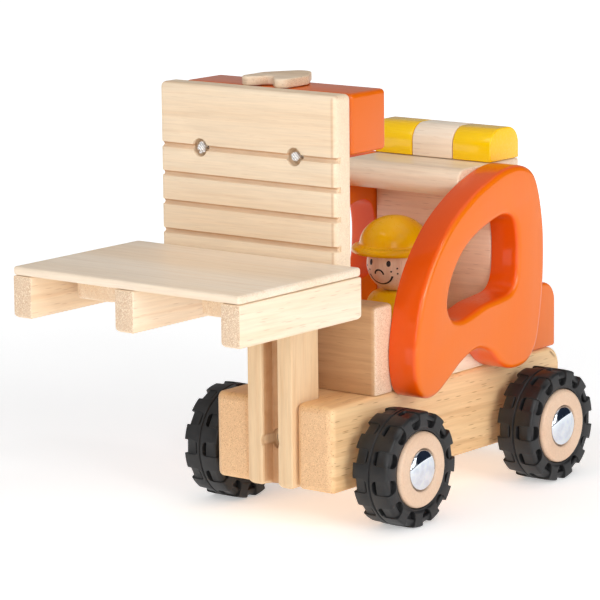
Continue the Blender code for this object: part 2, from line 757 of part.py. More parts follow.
def build_driver():
    """Peg driver: body, head and helmet, standing in the floor's socket and lifting out along Z."""
    axis = pivot("driver_lift", (0, SEAT_Y, BODY_BASE_Z))
    shoulder = [(BODY_R, BODY_TOP_Z - 8 * MM)]
    for degrees in (25, 50, 75):
        turn = math.radians(degrees)
        shoulder.append((7 * MM + 6 * MM * math.cos(turn), BODY_TOP_Z - 8 * MM + 8 * MM * math.sin(turn)))
    body_profile = [(0, BODY_BASE_Z), (BODY_R - 0.8 * MM, BODY_BASE_Z), (BODY_R, BODY_BASE_Z + 0.8 * MM)]
    body_profile += shoulder + [(5 * MM, BODY_TOP_Z), (0, BODY_TOP_Z)]
    body = lathe("driver_body", body_profile, yellow_paint())
    neck_z = BODY_TOP_Z + GAP
    head_top = BRIM_BOTTOM_Z - GAP
    head_profile = [(0, neck_z)]
    head_steps = 8
    for step in range(head_steps + 1):
        height = neck_z + (head_top - neck_z) * step / head_steps
        head_profile.append((math.sqrt(max(HEAD_R**2 - (height - HEAD_Z) ** 2, (4 * MM) ** 2)), height))
    head_profile.append((0, head_top))
    head = lathe("driver_head", head_profile, pale_wood())
    brim_mid = (BRIM_BOTTOM_Z + BRIM_TOP_Z) / 2
    helmet_profile = [
        (0, BRIM_BOTTOM_Z),
        (BRIM_R - 1.6 * MM, BRIM_BOTTOM_Z),
        (BRIM_R, brim_mid),
        (BRIM_R - 1.4 * MM, BRIM_TOP_Z - 0.3 * MM),
    ]
    dome_height = HELMET_TOP_Z - BRIM_TOP_Z
    for degrees in (0, 15, 30, 45, 60, 75):
        turn = math.radians(degrees)
        helmet_profile.append((HELMET_R * math.cos(turn), BRIM_TOP_Z + dome_height * math.sin(turn)))
    helmet_profile.append((0, HELMET_TOP_Z))
    helmet = lathe("driver_helmet", helmet_profile, yellow_paint())
    for piece in (body, head, helmet):
        piece.location.y = SEAT_Y
    under(axis, body, head, helmet)


def build_wheel(name, side, axle_y):
    """One wheel: a turned hub with a recess for the cap, and a rubber tyre round it."""
    bore = AXLE_R + GAP
    round_r = 1.6 * MM
    recess_x = HUB_OUT_X - HUB_RECESS_DEPTH
    hub_profile = [
        (bore, HUB_IN_X),
        (HUB_R - round_r, HUB_IN_X),
        (HUB_R, HUB_IN_X + round_r),
        (HUB_R, HUB_OUT_X - round_r),
        (HUB_R - round_r * 0.3, HUB_OUT_X - round_r * 0.3),
        (HUB_R - round_r, HUB_OUT_X),
        (HUB_RECESS_R, HUB_OUT_X),
        (HUB_RECESS_R, recess_x),
        (bore, recess_x),
    ]
    wall = 1.3 * MM
    inner = HUB_R + GAP
    middle_x = (TYRE_IN_X + TYRE_OUT_X) / 2
    tyre_profile = [
        (inner, TYRE_IN_X),
        (WHEEL_R - wall, TYRE_IN_X),
        (WHEEL_R - wall * 0.2, TYRE_IN_X + wall),
        (WHEEL_R, middle_x),
        (WHEEL_R - wall * 0.2, TYRE_OUT_X - wall),
        (WHEEL_R - wall, TYRE_OUT_X),
        (inner, TYRE_OUT_X),
    ]
    axis = pivot(f"wheel_axis_{name}", (0, axle_y, WHEEL_R))
    hub = ring(f"hub_{name}", [(r, side * x) for r, x in hub_profile], pale_wood())
    tyre = ring(f"tyre_{name}", [(r, side * x) for r, x in tyre_profile], rubber(), 40)
    for piece in (hub, tyre):
        piece.location = axis.location
    under(axis, hub, tyre)


def build_cap(name, side, axle_y):
    """Domed push-on cap on an axle's end."""
    seat_x = HUB_OUT_X - HUB_RECESS_DEPTH + GAP
    bore = AXLE_R + GAP
    bore_end = AXLE_END_X - seat_x + GAP
    profile = [(0, bore_end), (bore, bore_end), (bore, 0), (CAP_R, 0), (CAP_R, CAP_RIM)]
    for degrees in (20, 40, 60, 78):
        turn = math.radians(degrees)
        profile.append((CAP_R * math.cos(turn), CAP_RIM + (CAP_HEIGHT - CAP_RIM) * math.sin(turn)))
    profile.append((0, CAP_HEIGHT))
    cap = lathe(f"axle_cap_{name}", profile, steel(), "X", 24)
    if side < 0:
        cap.rotation_euler.z = math.pi
    cap.location = (side * seat_x, axle_y, WHEEL_R)


def build_running_gear():
    for axle_y, end in ((FRONT_AXLE_Y, "front"), (REAR_AXLE_Y, "rear")):
        start = (-AXLE_END_X, axle_y, WHEEL_R)
        rod(f"{end}_axle", start, (AXLE_END_X, axle_y, WHEEL_R), AXLE_R, steel())
        for side, hand in ((1, "left"), (-1, "right")):
            build_wheel(f"{end}_{hand}", side, axle_y)
            build_cap(f"{end}_{hand}", side, axle_y)


def main():
    clear_scene()
    build_chassis()
    build_mast()
    build_head_block()
    build_winder()
    build_carriage()
    for side, name in ((1, "left"), (-1, "right")):
        cord(f"lift_cord_{name}", lift_cord_route(side), white_cord())
    build_pallet()
    build_cab_blocks()
    build_roof()
    build_side_panels()
    build_driver()
    build_running_gear()


main()
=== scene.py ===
"""Looks for the wooden toy forklift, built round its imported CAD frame.

Metres, +Z up. The forks point to -Y and +X is the truck's left. Every piece is modelled in place:
finishes first, then the modelling tools, then the truck part by part, and the studio last.
"""

import math

import bmesh
import bpy
from mathutils import Matrix, Vector


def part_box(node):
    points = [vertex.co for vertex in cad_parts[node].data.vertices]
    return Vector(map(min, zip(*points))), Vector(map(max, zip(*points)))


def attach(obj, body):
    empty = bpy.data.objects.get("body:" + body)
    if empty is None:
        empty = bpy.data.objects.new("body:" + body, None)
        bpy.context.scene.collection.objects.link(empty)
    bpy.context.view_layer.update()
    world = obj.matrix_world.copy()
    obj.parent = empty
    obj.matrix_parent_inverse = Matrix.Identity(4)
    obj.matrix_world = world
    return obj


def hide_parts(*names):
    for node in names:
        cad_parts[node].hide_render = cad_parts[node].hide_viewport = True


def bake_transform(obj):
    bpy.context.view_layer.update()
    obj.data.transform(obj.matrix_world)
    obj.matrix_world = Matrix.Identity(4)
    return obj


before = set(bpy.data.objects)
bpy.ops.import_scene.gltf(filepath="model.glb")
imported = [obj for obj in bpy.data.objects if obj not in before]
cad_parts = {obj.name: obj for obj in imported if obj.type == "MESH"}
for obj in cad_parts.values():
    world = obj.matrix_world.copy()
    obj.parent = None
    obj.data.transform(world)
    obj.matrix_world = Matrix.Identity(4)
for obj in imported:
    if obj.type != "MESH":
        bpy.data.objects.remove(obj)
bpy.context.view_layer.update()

MM = 0.001
AXES = {"X": Vector((1, 0, 0)), "Y": Vector((0, 1, 0)), "Z": Vector((0, 0, 1))}
LEFT_AND_RIGHT = ((1, "left"), (-1, "right"))

# Sizes that finishes and pieces share
GAP = 0.3 * MM
PAST = 5 * MM
GROOVE_ROWS = 4
TOP_GROOVE_Z = 161.6 * MM
GROOVE_STEP = 12.25 * MM


# ---------------------------------------------------------------- finishes
# Noise scales are per metre, so 1000 gives patches of about a millimetre.

def srgb(red, green, blue):
    """Return a linear colour from 0 to 255 display values."""
    channels = []
    for value in (red, green, blue):
        share = value / 255
        channels.append(share / 12.92 if share <= 0.04045 else ((share + 0.055) / 1.055) ** 2.4)
    return (*channels, 1.0)


def add(tree, kind, sockets=(), **settings):
    """Add a shader node, set or link its inputs, and return it."""
    made = tree.nodes.new("ShaderNode" + kind)
    for key, value in settings.items():
        setattr(made, key, value)
    for key, value in dict(sockets).items():
        if isinstance(value, bpy.types.NodeSocket):
            tree.links.new(value, made.inputs[key])
        else:
            made.inputs[key].default_value = value
    return made


def maths(tree, operation, first, second=0.0):
    """Return the result of a Math node."""
    return add(tree, "Math", {0: first, 1: second}, operation=operation).outputs[0]


def ramp(tree, value, low, high, start=0.0, end=1.0):
    """Return value eased from start to end while it goes from low to high."""
    sockets = {"Value": value, "From Min": low, "From Max": high, "To Min": start, "To Max": end}
    return add(tree, "MapRange", sockets, interpolation_type="SMOOTHSTEP").outputs["Result"]


def blended(tree, share, first, second, blend="MIX"):
    """Return one colour laid over another by a share."""
    made = add(tree, "Mix", {0: share, 6: first, 7: second}, data_type="RGBA", blend_type=blend)
    return made.outputs[2]


def noise(tree, vector, scale, detail=3.0, roughness=0.55, distortion=0.0):
    """Return the value of a noise pattern."""
    sockets = {
        "Vector": vector,
        "Scale": scale,
        "Detail": detail,
        "Roughness": roughness,
        "Distortion": distortion,
    }
    return add(tree, "TexNoise", sockets).outputs[0]


def new_finish(name, **sockets):
    """Return a material, its tree and its shader, with the shader's own sockets set."""
    finish = bpy.data.materials.new(name)
    finish.use_nodes = True
    tree = finish.node_tree
    shader = tree.nodes["Principled BSDF"]
    for key, value in sockets.items():
        shader.inputs[key.replace("_", " ")].default_value = value
    return finish, tree, shader


def bumped(tree, shader, height, strength, distance=0.2 * MM):
    """Raise the surface by a height pattern."""
    made = add(tree, "Bump", {"Height": height, "Strength": strength, "Distance": distance})
    tree.links.new(made.outputs["Normal"], shader.inputs["Normal"])


def grain_space(tree, grain, shift, squeeze, tilt=0.0):
    """Return coordinates squeezed along the grain, so patterns stretch along it."""
    place = add(tree, "TexCoord").outputs["Object"]
    scale = Vector((1, 1, 1)) - (1 - squeeze) * AXES[grain]
    turn = (tilt, tilt * 0.6, tilt * 0.8)
    mapping = add(tree, "Mapping", {"Vector": place, "Location": shift, "Rotation": turn})
    squeezed = add(tree, "Mapping", {"Vector": mapping.outputs[0], "Scale": scale})
    return mapping.outputs[0], squeezed.outputs[0]


def end_share(tree, grain):
    """Return 1 where the surface cuts across the grain and 0 where it runs along it."""
    normal = add(tree, "TexCoord").outputs["Normal"]
    along = add(tree, "VectorMath", {0: normal, 1: AXES[grain]}, operation="DOT_PRODUCT")
    return ramp(tree, maths(tree, "ABSOLUTE", along.outputs["Value"]), 0.6, 0.92)


def growth_rings(tree, place, grain, pith, scale, wobble):
    """Return the growth rings round a pith line that runs along the grain."""
    centred = add(tree, "Mapping", {"Vector": place, "Location": pith})
    sockets = {
        "Vector": centred.outputs[0],
        "Scale": scale,
        "Distortion": wobble,
        "Detail": 2.0,
        "Detail Scale": 0.9,
        "Detail Roughness": 0.6,
    }
    rings = add(tree, "TexWave", sockets, wave_type="RINGS", rings_direction=grain)
    return rings.outputs[1]


def pore_marks(tree, place, grain, size, length):
    """Return short dark pores: streaks along the grain and dots on cut ends."""
    scale = Vector((1, 1, 1)) - (1 - 1 / length) * AXES[grain]
    cells = add(tree, "Mapping", {"Vector": place, "Scale": scale}).outputs[0]
    found = add(tree, "TexVoronoi", {"Vector": cells, "Scale": 1 / size, "Randomness": 1.0})
    mark = ramp(tree, found.outputs["Distance"], 0.10, 0.24, 1.0, 0.0)
    crowd = ramp(tree, noise(tree, cells, 0.22 / size, 2.0), 0.26, 0.42)
    return maths(tree, "MULTIPLY", mark, crowd)


def wood(name, grain, light, mid, dark, pores=0.3, shift=(0, 0, 0), pith=(0.02, 0.05, 0.03),
         rings=0.2, ends=0.45, end_tone=(222, 184, 146), roughness=0.5, shade_boxes=()):
    """Return a satin wood: growth rings, fibres, pores and speckled end grain.

    The last argument holds boxes of painted shade, where grooves, recesses and edges lie in shade, as the
    brown step at the end takes them.
    """
    finish, tree, shader = new_finish(name, Roughness=roughness, Specular_IOR_Level=0.38)
    place, along = grain_space(tree, grain, shift, 0.035, 0.03)
    broad = noise(tree, along, 38, 3.0, 0.5, 0.4)
    fibre = noise(tree, along, 1000, 4.0, 0.65)
    streak = noise(tree, along, 340, 3.0, 0.6, 0.2)
    ring = growth_rings(tree, place, grain, pith, 70, 1.6)
    marks = pore_marks(tree, place, grain, 1.0 * MM, 13.0)
    cut_end = end_share(tree, grain)
    colour = blended(tree, ramp(tree, broad, 0.36, 0.66), srgb(*light), srgb(*mid))
    late = maths(tree, "MULTIPLY", ramp(tree, ring, 0.45, 0.98), rings)
    colour = blended(tree, late, colour, srgb(*dark))
    colour = blended(tree, ramp(tree, streak, 0.5, 0.72, 0.0, 0.3), colour, srgb(*dark))
    speck = ramp(tree, noise(tree, place, 2400, 2.0, 0.7), 0.40, 0.72)
    pale = [min(255, channel + 8) for channel in light]
    end_colour = blended(tree, speck, srgb(*end_tone), srgb(*pale))
    colour = blended(tree, maths(tree, "MULTIPLY", cut_end, ends), colour, end_colour)
    depth = maths(tree, "MULTIPLY", marks, pores)
    pore_tone = [dark[0] * 0.80, dark[1] * 0.70, dark[2] * 0.58]
    colour = blended(tree, depth, colour, srgb(*pore_tone))
    # painted shade: the wood turns browner inside the given boxes
    colour = painted_shade_boxes(tree, place, colour, dark, shade_boxes)
    tone = ramp(tree, fibre, 0.3, 0.7, 0.94, 1.03)
    shade = add(tree, "CombineColor", {0: tone, 1: tone, 2: tone}).outputs[0]
    colour = blended(tree, 1.0, colour, shade, "MULTIPLY")
    tree.links.new(colour, shader.inputs["Base Color"])
    raised = maths(tree, "MULTIPLY", fibre, 0.35)
    relief = maths(tree, "SUBTRACT", raised, maths(tree, "MULTIPLY", marks, 0.4))
    bumped(tree, shader, relief, 0.22, 0.12 * MM)
    return finish


def painted_shade_boxes(tree, place, colour, dark, shade_boxes):
    """Brown the wood inside boxes of space, a little unevenly: painted shade where grooves, recesses and
    edges lie in shade.

    Each spot is (low corner, high corner, share) in millimetres, None where it has no end.
    """
    point = add(tree, "TexCoord").outputs["Object"]
    values = add(tree, "SeparateXYZ", {0: point}).outputs
    patchy = ramp(tree, noise(tree, place, 160, 3.0, 0.6), 0.3, 0.7, 0.75, 1.0)
    brown = srgb(dark[0] * 0.88, dark[1] * 0.76, dark[2] * 0.64)
    soft = 0.5 * MM
    for low, high, share in shade_boxes:
        band = maths(tree, "MULTIPLY", patchy, share)
        for value, start, end in zip(values, low, high):
            if start is None:
                continue
            band = maths(tree, "MULTIPLY", band, ramp(tree, value, start * MM, start * MM + soft))
            band = maths(tree, "MULTIPLY", band, ramp(tree, value, end * MM - soft, end * MM, 1.0, 0.0))
        colour = blended(tree, band, colour, brown)
    return colour


def paint(name, grain, face, edge, roughness, worn, lit_face_axis="X", coat=0.0, shift=(0, 0, 0)):
    """Return paint on wood: even on the face, with painted shade in a darker, redder edge colour on faces
    turned off the face's axis, and thinner and grainier where edges drank it.
    """
    finish, tree, shader = new_finish(name, Roughness=roughness, Specular_IOR_Level=0.2,
                                      Coat_Weight=coat, Coat_Roughness=0.05)
    along = grain_space(tree, grain, shift, 0.05, 0.02)[1]
    fibre = noise(tree, along, 760, 4.0, 0.6)
    cloud = noise(tree, along, 60, 3.0, 0.5)
    normal = add(tree, "TexCoord").outputs["Normal"]
    facing = add(tree, "VectorMath", {0: normal, 1: AXES[lit_face_axis]}, operation="DOT_PRODUCT")
    on_edge = ramp(tree, maths(tree, "ABSOLUTE", facing.outputs["Value"]), 0.35, 0.95, 1.0, 0.0)
    colour = blended(tree, ramp(tree, cloud, 0.35, 0.7, 0.0, 0.12), srgb(*face), srgb(*edge))
    # painted shade: faces turned off the face's axis take the darker, redder edge colour
    colour = blended(tree, on_edge, colour, srgb(*edge))
    thin = maths(tree, "MULTIPLY", ramp(tree, fibre, 0.52, 0.74), maths(tree, "MULTIPLY", on_edge, worn))
    pale = [channel + (255 - channel) * 0.35 for channel in face]
    colour = blended(tree, thin, colour, srgb(*pale))
    tree.links.new(colour, shader.inputs["Base Color"])
    rough = ramp(tree, fibre, 0.3, 0.75, roughness, roughness + 0.12)
    tree.links.new(rough, shader.inputs["Roughness"])
    bumped(tree, shader, fibre, 0.02 + 0.2 * worn, 0.06 * MM)
    return finish


def rubber_finish():
    """Matt black rubber with a fine mould texture and a little dust."""
    finish, tree, shader = new_finish("tyre_rubber", Roughness=0.6, Specular_IOR_Level=0.42)
    place = add(tree, "TexCoord").outputs["Object"]
    fine = noise(tree, place, 2600, 3.0, 0.6)
    cloud = noise(tree, place, 140, 3.0, 0.55)
    colour = blended(tree, ramp(tree, cloud, 0.35, 0.7), srgb(27, 27, 28), srgb(40, 40, 41))
    dust = ramp(tree, noise(tree, place, 1500, 2.0, 0.5), 0.70, 0.82, 0.0, 0.3)
    colour = blended(tree, dust, colour, srgb(84, 82, 80))
    tree.links.new(colour, shader.inputs["Base Color"])
    tree.links.new(ramp(tree, cloud, 0.3, 0.7, 0.38, 0.52), shader.inputs["Roughness"])
    bumped(tree, shader, fine, 0.18, 0.08 * MM)
    return finish


def metal(name, tone, roughness, scratch):
    """Return bare metal with faint scratches and a slightly uneven polish."""
    finish, tree, shader = new_finish(name, Metallic=1.0, Roughness=roughness)
    place = add(tree, "TexCoord").outputs["Object"]
    cloud = noise(tree, place, 260, 3.0, 0.5)
    fine = noise(tree, place, 2400, 2.0, 0.6, 1.5)
    colour = blended(tree, ramp(tree, cloud, 0.3, 0.7), srgb(*tone), srgb(*[c * 0.93 for c in tone]))
    tree.links.new(colour, shader.inputs["Base Color"])
    tree.links.new(ramp(tree, fine, 0.4, 0.8, roughness, roughness + scratch), shader.inputs["Roughness"])
    bumped(tree, shader, fine, scratch * 0.25, 0.03 * MM)
    return finish


def cord_finish():
    """White twisted cotton."""
    finish, tree, shader = new_finish("white_cotton", Roughness=0.8, Sheen_Weight=0.3)
    place = add(tree, "TexCoord").outputs["Object"]
    fluff = noise(tree, place, 3200, 3.0, 0.6)
    sockets = {"Vector": place, "Scale": 420.0, "Distortion": 1.0, "Detail": 1.0}
    strands = add(tree, "TexWave", sockets, wave_type="BANDS", bands_direction="DIAGONAL").outputs[1]
    lay = ramp(tree, strands, 0.1, 0.9)
    colour = blended(tree, lay, srgb(206, 204, 204), srgb(250, 249, 247))
    tree.links.new(colour, shader.inputs["Base Color"])
    height = maths(tree, "ADD", lay, maths(tree, "MULTIPLY", fluff, 0.5))
    bumped(tree, shader, height, 0.6, 0.25 * MM)
    return finish


def ink_finish():
    """Black printed ink, a little worn."""
    finish, tree, shader = new_finish("face_ink", Roughness=0.42)
    place = add(tree, "TexCoord").outputs["Object"]
    cloud = noise(tree, place, 1500, 3.0, 0.6)
    tree.links.new(blended(tree, cloud, srgb(14, 10, 10), srgb(46, 34, 30)), shader.inputs["Base Color"])
    bumped(tree, shader, cloud, 0.1, 0.05 * MM)
    return finish


def plate_shade_boxes():
    """Return the boxes of painted shade on the plate: deep in its scores, on their upper walls, and along
    its left front edge.
    """
    shade_boxes = [((-46.6, -51.9, None), (46.6, -50.0, None), 0.3)]
    for row in range(GROOVE_ROWS):
        score_z = (TOP_GROOVE_Z - row * GROOVE_STEP) / MM
        shade_boxes.append(((-46.6, -52.5, score_z), (46.6, -50.0, score_z + 1.5), 0.65))
    return shade_boxes + [((44.0, -53.6, None), (45.6, -52.2, None), 0.4)]


# Display colours of the woods: between the rings, in a broad band, and of the late rings
PALE = {"light": (250, 231, 206), "mid": (244, 217, 184), "dark": (224, 182, 136)}
GOLDEN = {"light": (238, 208, 168), "mid": (230, 194, 150), "dark": (208, 160, 108)}
RUBBERWOOD = {"light": (246, 208, 158), "mid": (238, 190, 134), "dark": (202, 142, 86)}
PINKISH = {"light": (250, 222, 196), "mid": (244, 208, 178), "dark": (206, 156, 120)}

CHASSIS_WOOD = wood("chassis_rubberwood", "Y", **RUBBERWOOD, pores=0.65, pith=(0.03, 0, 0.09),
                    rings=0.12, ends=0.85, end_tone=(226, 182, 140), roughness=0.42)
# painted shade: the mast's groove, its back and walls, is browned where the plate, pallet and right rail
# shade it
MAST_WOOD = wood("mast_wood", "Z", **GOLDEN, pores=0.1, shift=(0.3, 0.1, 0), pith=(0.09, 0.07, 0),
                 rings=0.12, shade_boxes=[((-4.8, -38.0, None), (4.8, -29.9, None), 0.62)])
# painted shade: browner deep in the scores, on their upper walls and along the left front edge
PLATE_WOOD = wood("plate_wood", "X", (243, 221, 192), (240, 214, 182), (222, 184, 142), pores=0.1,
                  shift=(0, 0.2, 0.4), pith=(0, 0.16, 0.12), rings=0.08, ends=0.6,
                  end_tone=(230, 204, 176), shade_boxes=plate_shade_boxes())
FORK_WOOD = wood("fork_wood", "Y", **PALE, pores=0.3, shift=(0.5, 0, 0.1), pith=(0.04, 0, 0.05), rings=0.2)
SHEET_WOOD = wood("pallet_sheet_wood", "X", (250, 234, 214), (245, 223, 196), (230, 198, 160),
                  pores=0.1, shift=(0, 0.7, 0.2), pith=(0, 0.02, 0.3), rings=0.04, ends=0.3, roughness=0.4)
RUNNER_WOOD = wood("pallet_runner_wood", "Y", **PALE, pores=0.3, shift=(0.1, 0, 0.6), pith=(0.02, 0, 0.04),
                   rings=0.1, ends=0.9, end_tone=(214, 178, 144))
# painted shade: the dash's front and top, in shade behind the mast and plate, take darker wood colours
# while its cut ends stay pale
DASH_WOOD_SHADED = wood("dash_wood_shaded", "X", (206, 162, 118), (196, 150, 106), (164, 116, 74), pores=0.25,
                 shift=(0, 0.4, 0.3), pith=(0, 0.05, 0.02), rings=0.15, ends=0.9, end_tone=(250, 224, 198))
FLOOR_WOOD = wood("cab_floor_wood", "Y", **PALE, pores=0.25, shift=(0.2, 0, 0.2), pith=(0.1, 0, 0.03),
                  rings=0.2)
WALL_WOOD = wood("rear_wall_wood", "X", **PINKISH, pores=0.35, shift=(0, 0.9, 0.1), pith=(0, 0.09, -0.06),
                 rings=0.2, ends=0.5)
ROOF_WOOD = wood("roof_wood", "X", (252, 236, 214), (246, 222, 194), (218, 178, 140), pores=0.2,
                 shift=(0, 0.1, 0.9), pith=(0, -0.09, 0.06), rings=0.12, roughness=0.34)
BAR_WOOD = wood("light_bar_wood", "X", (254, 240, 222), (250, 230, 206), (226, 190, 152), pores=0.25,
                shift=(0, 0.5, 0.5), pith=(0, 0.04, 0.04), rings=0.12)
KNOB_WOOD = wood("knob_wood", "X", (240, 218, 192), (232, 204, 172), (196, 156, 116), pores=0.4,
                 shift=(0, 0.3, 0.8), pith=(0, 0.05, 0.03), rings=0.15, ends=0.8)
HUB_WOOD = wood("hub_wood", "X", (228, 198, 172), (224, 190, 162), (220, 178, 146), pores=0.1,
                shift=(0, 0.2, 0.2), pith=(0, 0.02, 0.06), rings=0.06, ends=0.2, roughness=0.34)
HEAD_WOOD = wood("driver_head_wood", "Z", (255, 228, 200), (252, 216, 184), (222, 168, 128), pores=0.3,
                 shift=(0.4, 0.4, 0), pith=(0.03, 0.02, 0), rings=0.2, roughness=0.36)
ORANGE = paint("orange_gloss", "Z", (234, 112, 0), (238, 86, 0), 0.3, 0.03, coat=0.45)
HEAD_ORANGE = paint("head_block_orange", "X", (222, 102, 0), (222, 98, 0), 0.3, 0.02, coat=0.4)
YELLOW = paint("yellow_gloss", "X", (255, 208, 0), (253, 200, 0), 0.2, 0.02, lit_face_axis="Y", coat=0.5)
AMBER = paint("helmet_amber", "Z", (255, 196, 0), (252, 188, 0), 0.26, 0.15, lit_face_axis="X", coat=0.3)
SHIRT_YELLOW = paint("shirt_yellow", "Z", (255, 218, 0), (255, 206, 0), 0.26, 0.1, coat=0.1)
RUBBER = rubber_finish()
CHROME = metal("cap_chrome", (226, 232, 240), 0.04, 0.05)
STEEL = metal("plain_steel_finish", (186, 186, 190), 0.28, 0.15)
CORD = cord_finish()
INK = ink_finish()


# ---------------------------------------------------------------- modelling

def rest():
    """Deselect every object."""
    for obj in bpy.context.selected_objects:
        obj.select_set(False)


def take(obj):
    """Make obj the only selected object."""
    rest()
    obj.select_set(True)
    bpy.context.view_layer.objects.active = obj


def edit(obj):
    """Open the object's mesh for editing."""
    take(obj)
    bpy.ops.object.mode_set(mode="EDIT")


def leave():
    """Close the edited mesh."""
    bpy.ops.object.mode_set(mode="OBJECT")


def settle(obj):
    """Put the object's place, turn and size into its mesh."""
    take(obj)
    bpy.ops.object.transform_apply(location=True, rotation=True, scale=True)


def pick(obj, kind, wanted):
    """Select the vertices, edges or faces of an edited mesh that the test wants."""
    bpy.ops.mesh.select_mode(type=kind)
    bpy.ops.mesh.select_all(action="DESELECT")
    bm = bmesh.from_edit_mesh(obj.data)
    for item in {"VERT": bm.verts, "EDGE": bm.edges, "FACE": bm.faces}[kind]:
        if wanted(item):
            item.select_set(True)
    bm.select_flush_mode()
    bmesh.update_edit_mesh(obj.data)


def tidy_faces(obj):
    """Merge doubles and turn every face outwards."""
    edit(obj)
    bpy.ops.mesh.select_all(action="SELECT")
    bpy.ops.mesh.remove_doubles(threshold=0.002 * MM)
    bpy.ops.mesh.normals_make_consistent(inside=False)
    leave()


def apply(obj, kind, **settings):
    """Add a modifier with these settings and apply it."""
    modifier = obj.modifiers.new(kind.lower(), kind)
    for key, value in settings.items():
        setattr(modifier, key, value)
    take(obj)
    bpy.ops.object.modifier_apply(modifier=modifier.name)


def cut(obj, *tools):
    """Cut the tools out of the object and remove them."""
    for tool in tools:
        apply(obj, "BOOLEAN", operation="DIFFERENCE", solver="EXACT", object=tool)
        bpy.data.objects.remove(tool, do_unlink=True)


def soften(obj, width, segments=4, angle=40):
    """Round every edge that is sharper than the angle."""
    apply(obj, "BEVEL", width=width, segments=segments, limit_method="ANGLE",
          angle_limit=math.radians(angle), use_clamp_overlap=True)


def round_edges(obj, wanted, width, segments=6):
    """Bevel only the edges that the test wants."""
    edit(obj)
    pick(obj, "EDGE", wanted)
    bpy.ops.mesh.bevel(offset=width, segments=segments, affect="EDGES")
    leave()


def on(value, target, room=0.05 * MM):
    """True if the value is at the target, give or take a hair."""
    return abs(value - target) < room


def both(edge, axis, target):
    """True if both ends of the edge lie at that place along the axis."""
    return all(on(v.co[axis], target) for v in edge.verts)


def block(name, low, high):
    """Return a block between two corners."""
    low, high = Vector(low), Vector(high)
    rest()
    bpy.ops.mesh.primitive_cube_add(size=1, location=(low + high) / 2)
    obj = bpy.context.object
    obj.name = obj.data.name = name
    obj.scale = high - low
    settle(obj)
    return obj


def peg(name, start, end, radius, steps=48):
    """Return a round peg between two points that lie along one axis."""
    start, end = Vector(start), Vector(end)
    run = end - start
    rest()
    bpy.ops.mesh.primitive_cylinder_add(vertices=steps, radius=radius, depth=run.length,
                                        location=(start + end) / 2,
                                        rotation=run.to_track_quat("Z", "Y").to_euler())
    obj = bpy.context.object
    obj.name = obj.data.name = name
    settle(obj)
    return obj


def traced(name, points):
    """Return an edge path, traced by extruding one vertex from point to point."""
    rest()
    bpy.ops.mesh.primitive_plane_add(size=MM, location=points[0])
    obj = bpy.context.object
    obj.name = obj.data.name = name
    settle(obj)
    edit(obj)
    bpy.ops.mesh.select_mode(type="VERT")
    bpy.ops.mesh.select_all(action="SELECT")
    bpy.ops.mesh.merge(type="CENTER")
    for here, there in zip(points, points[1:]):
        step = Vector(there) - Vector(here)
        bpy.ops.mesh.extrude_region_move(TRANSFORM_OT_translate={"value": step})
    leave()
    return obj


def turned(name, profile, centre, axis="Z", steps=96):
    """Return a turned piece from (radius, along) points about an axis through the centre."""
    spin_axis = AXES[axis]
    out = AXES["Z"] if axis != "Z" else AXES["X"]
    centre = Vector(centre)
    points = [centre + out * radius + spin_axis * along for radius, along in profile]
    obj = traced(name, points)
    edit(obj)
    bpy.ops.mesh.select_all(action="SELECT")
    bpy.ops.mesh.spin(steps=steps, angle=2 * math.pi, center=centre, axis=spin_axis)
    leave()
    tidy_faces(obj)
    return obj


def outlined(name, points, run):
    """Return a closed outline, filled and extruded by a vector."""
    obj = traced(name, points)
    edit(obj)
    bpy.ops.mesh.select_all(action="SELECT")
    bpy.ops.mesh.edge_face_add()
    bpy.ops.mesh.extrude_region_move(TRANSFORM_OT_translate={"value": run})
    leave()
    tidy_faces(obj)
    return obj


def arc(centre, radius, start, end, steps=8):
    """Return points of an arc between two angles in degrees, both ends included."""
    points = []
    for step in range(steps + 1):
        turn = math.radians(start + (end - start) * step / steps)
        points.append((centre[0] + radius * math.cos(turn), centre[1] + radius * math.sin(turn)))
    return points


def curve_point(before, here, there, after, t):
    """Return the Catmull-Rom point that is a share t of the way from here to there."""
    bend = 2 * here + (there - before) * t
    bend += (2 * before - 5 * here + 4 * there - after) * t * t
    bend += (3 * here - before - 3 * there + after) * t * t * t
    return bend * 0.5


def smooth_loop(points, steps=6):
    """Return a closed smooth curve through (a, b) millimetre points, in metres."""
    count = len(points)
    curve = []
    for i in range(count):
        nearby = [Vector(points[(i + k) % count]) for k in (-1, 0, 1, 2)]
        curve += [curve_point(*nearby, step / steps) * MM for step in range(steps)]
    return curve


def smooth_path(points, steps):
    """Return an open smooth curve through the points."""
    padded = [points[0] * 2 - points[1], *points, points[-1] * 2 - points[-2]]
    curve = []
    for nearby in zip(padded, padded[1:], padded[2:], padded[3:]):
        curve += [curve_point(*nearby, step / steps) for step in range(steps)]
    return curve + [points[-1]]


def turn_about_x(obj, degrees):
    """Turn the object's mesh about the X axis through the origin."""
    edit(obj)
    bpy.ops.mesh.select_all(action="SELECT")
    bpy.ops.transform.rotate(value=math.radians(degrees), orient_axis="X", center_override=(0, 0, 0))
    leave()


def copied(source, name):
    """Return a copy of a piece with its own mesh."""
    piece = source.copy()
    piece.data = source.data.copy()
    piece.name = piece.data.name = name
    bpy.context.scene.collection.objects.link(piece)
    return piece


def cord_tube(name, points, radius):
    """Return a smooth closed tube of cord through the points."""
    curve = bpy.data.curves.new(name, "CURVE")
    curve.dimensions = "3D"
    curve.bevel_depth = radius
    curve.bevel_resolution = 3
    curve.use_fill_caps = True
    spline = curve.splines.new("POLY")
    spline.points.add(len(points) - 1)
    for point, place in zip(spline.points, points):
        point.co = (*place, 1.0)
    obj = bpy.data.objects.new(name, curve)
    bpy.context.scene.collection.objects.link(obj)
    take(obj)
    bpy.ops.object.convert(target="MESH")
    obj = bpy.context.object
    tidy_faces(obj)
    return obj


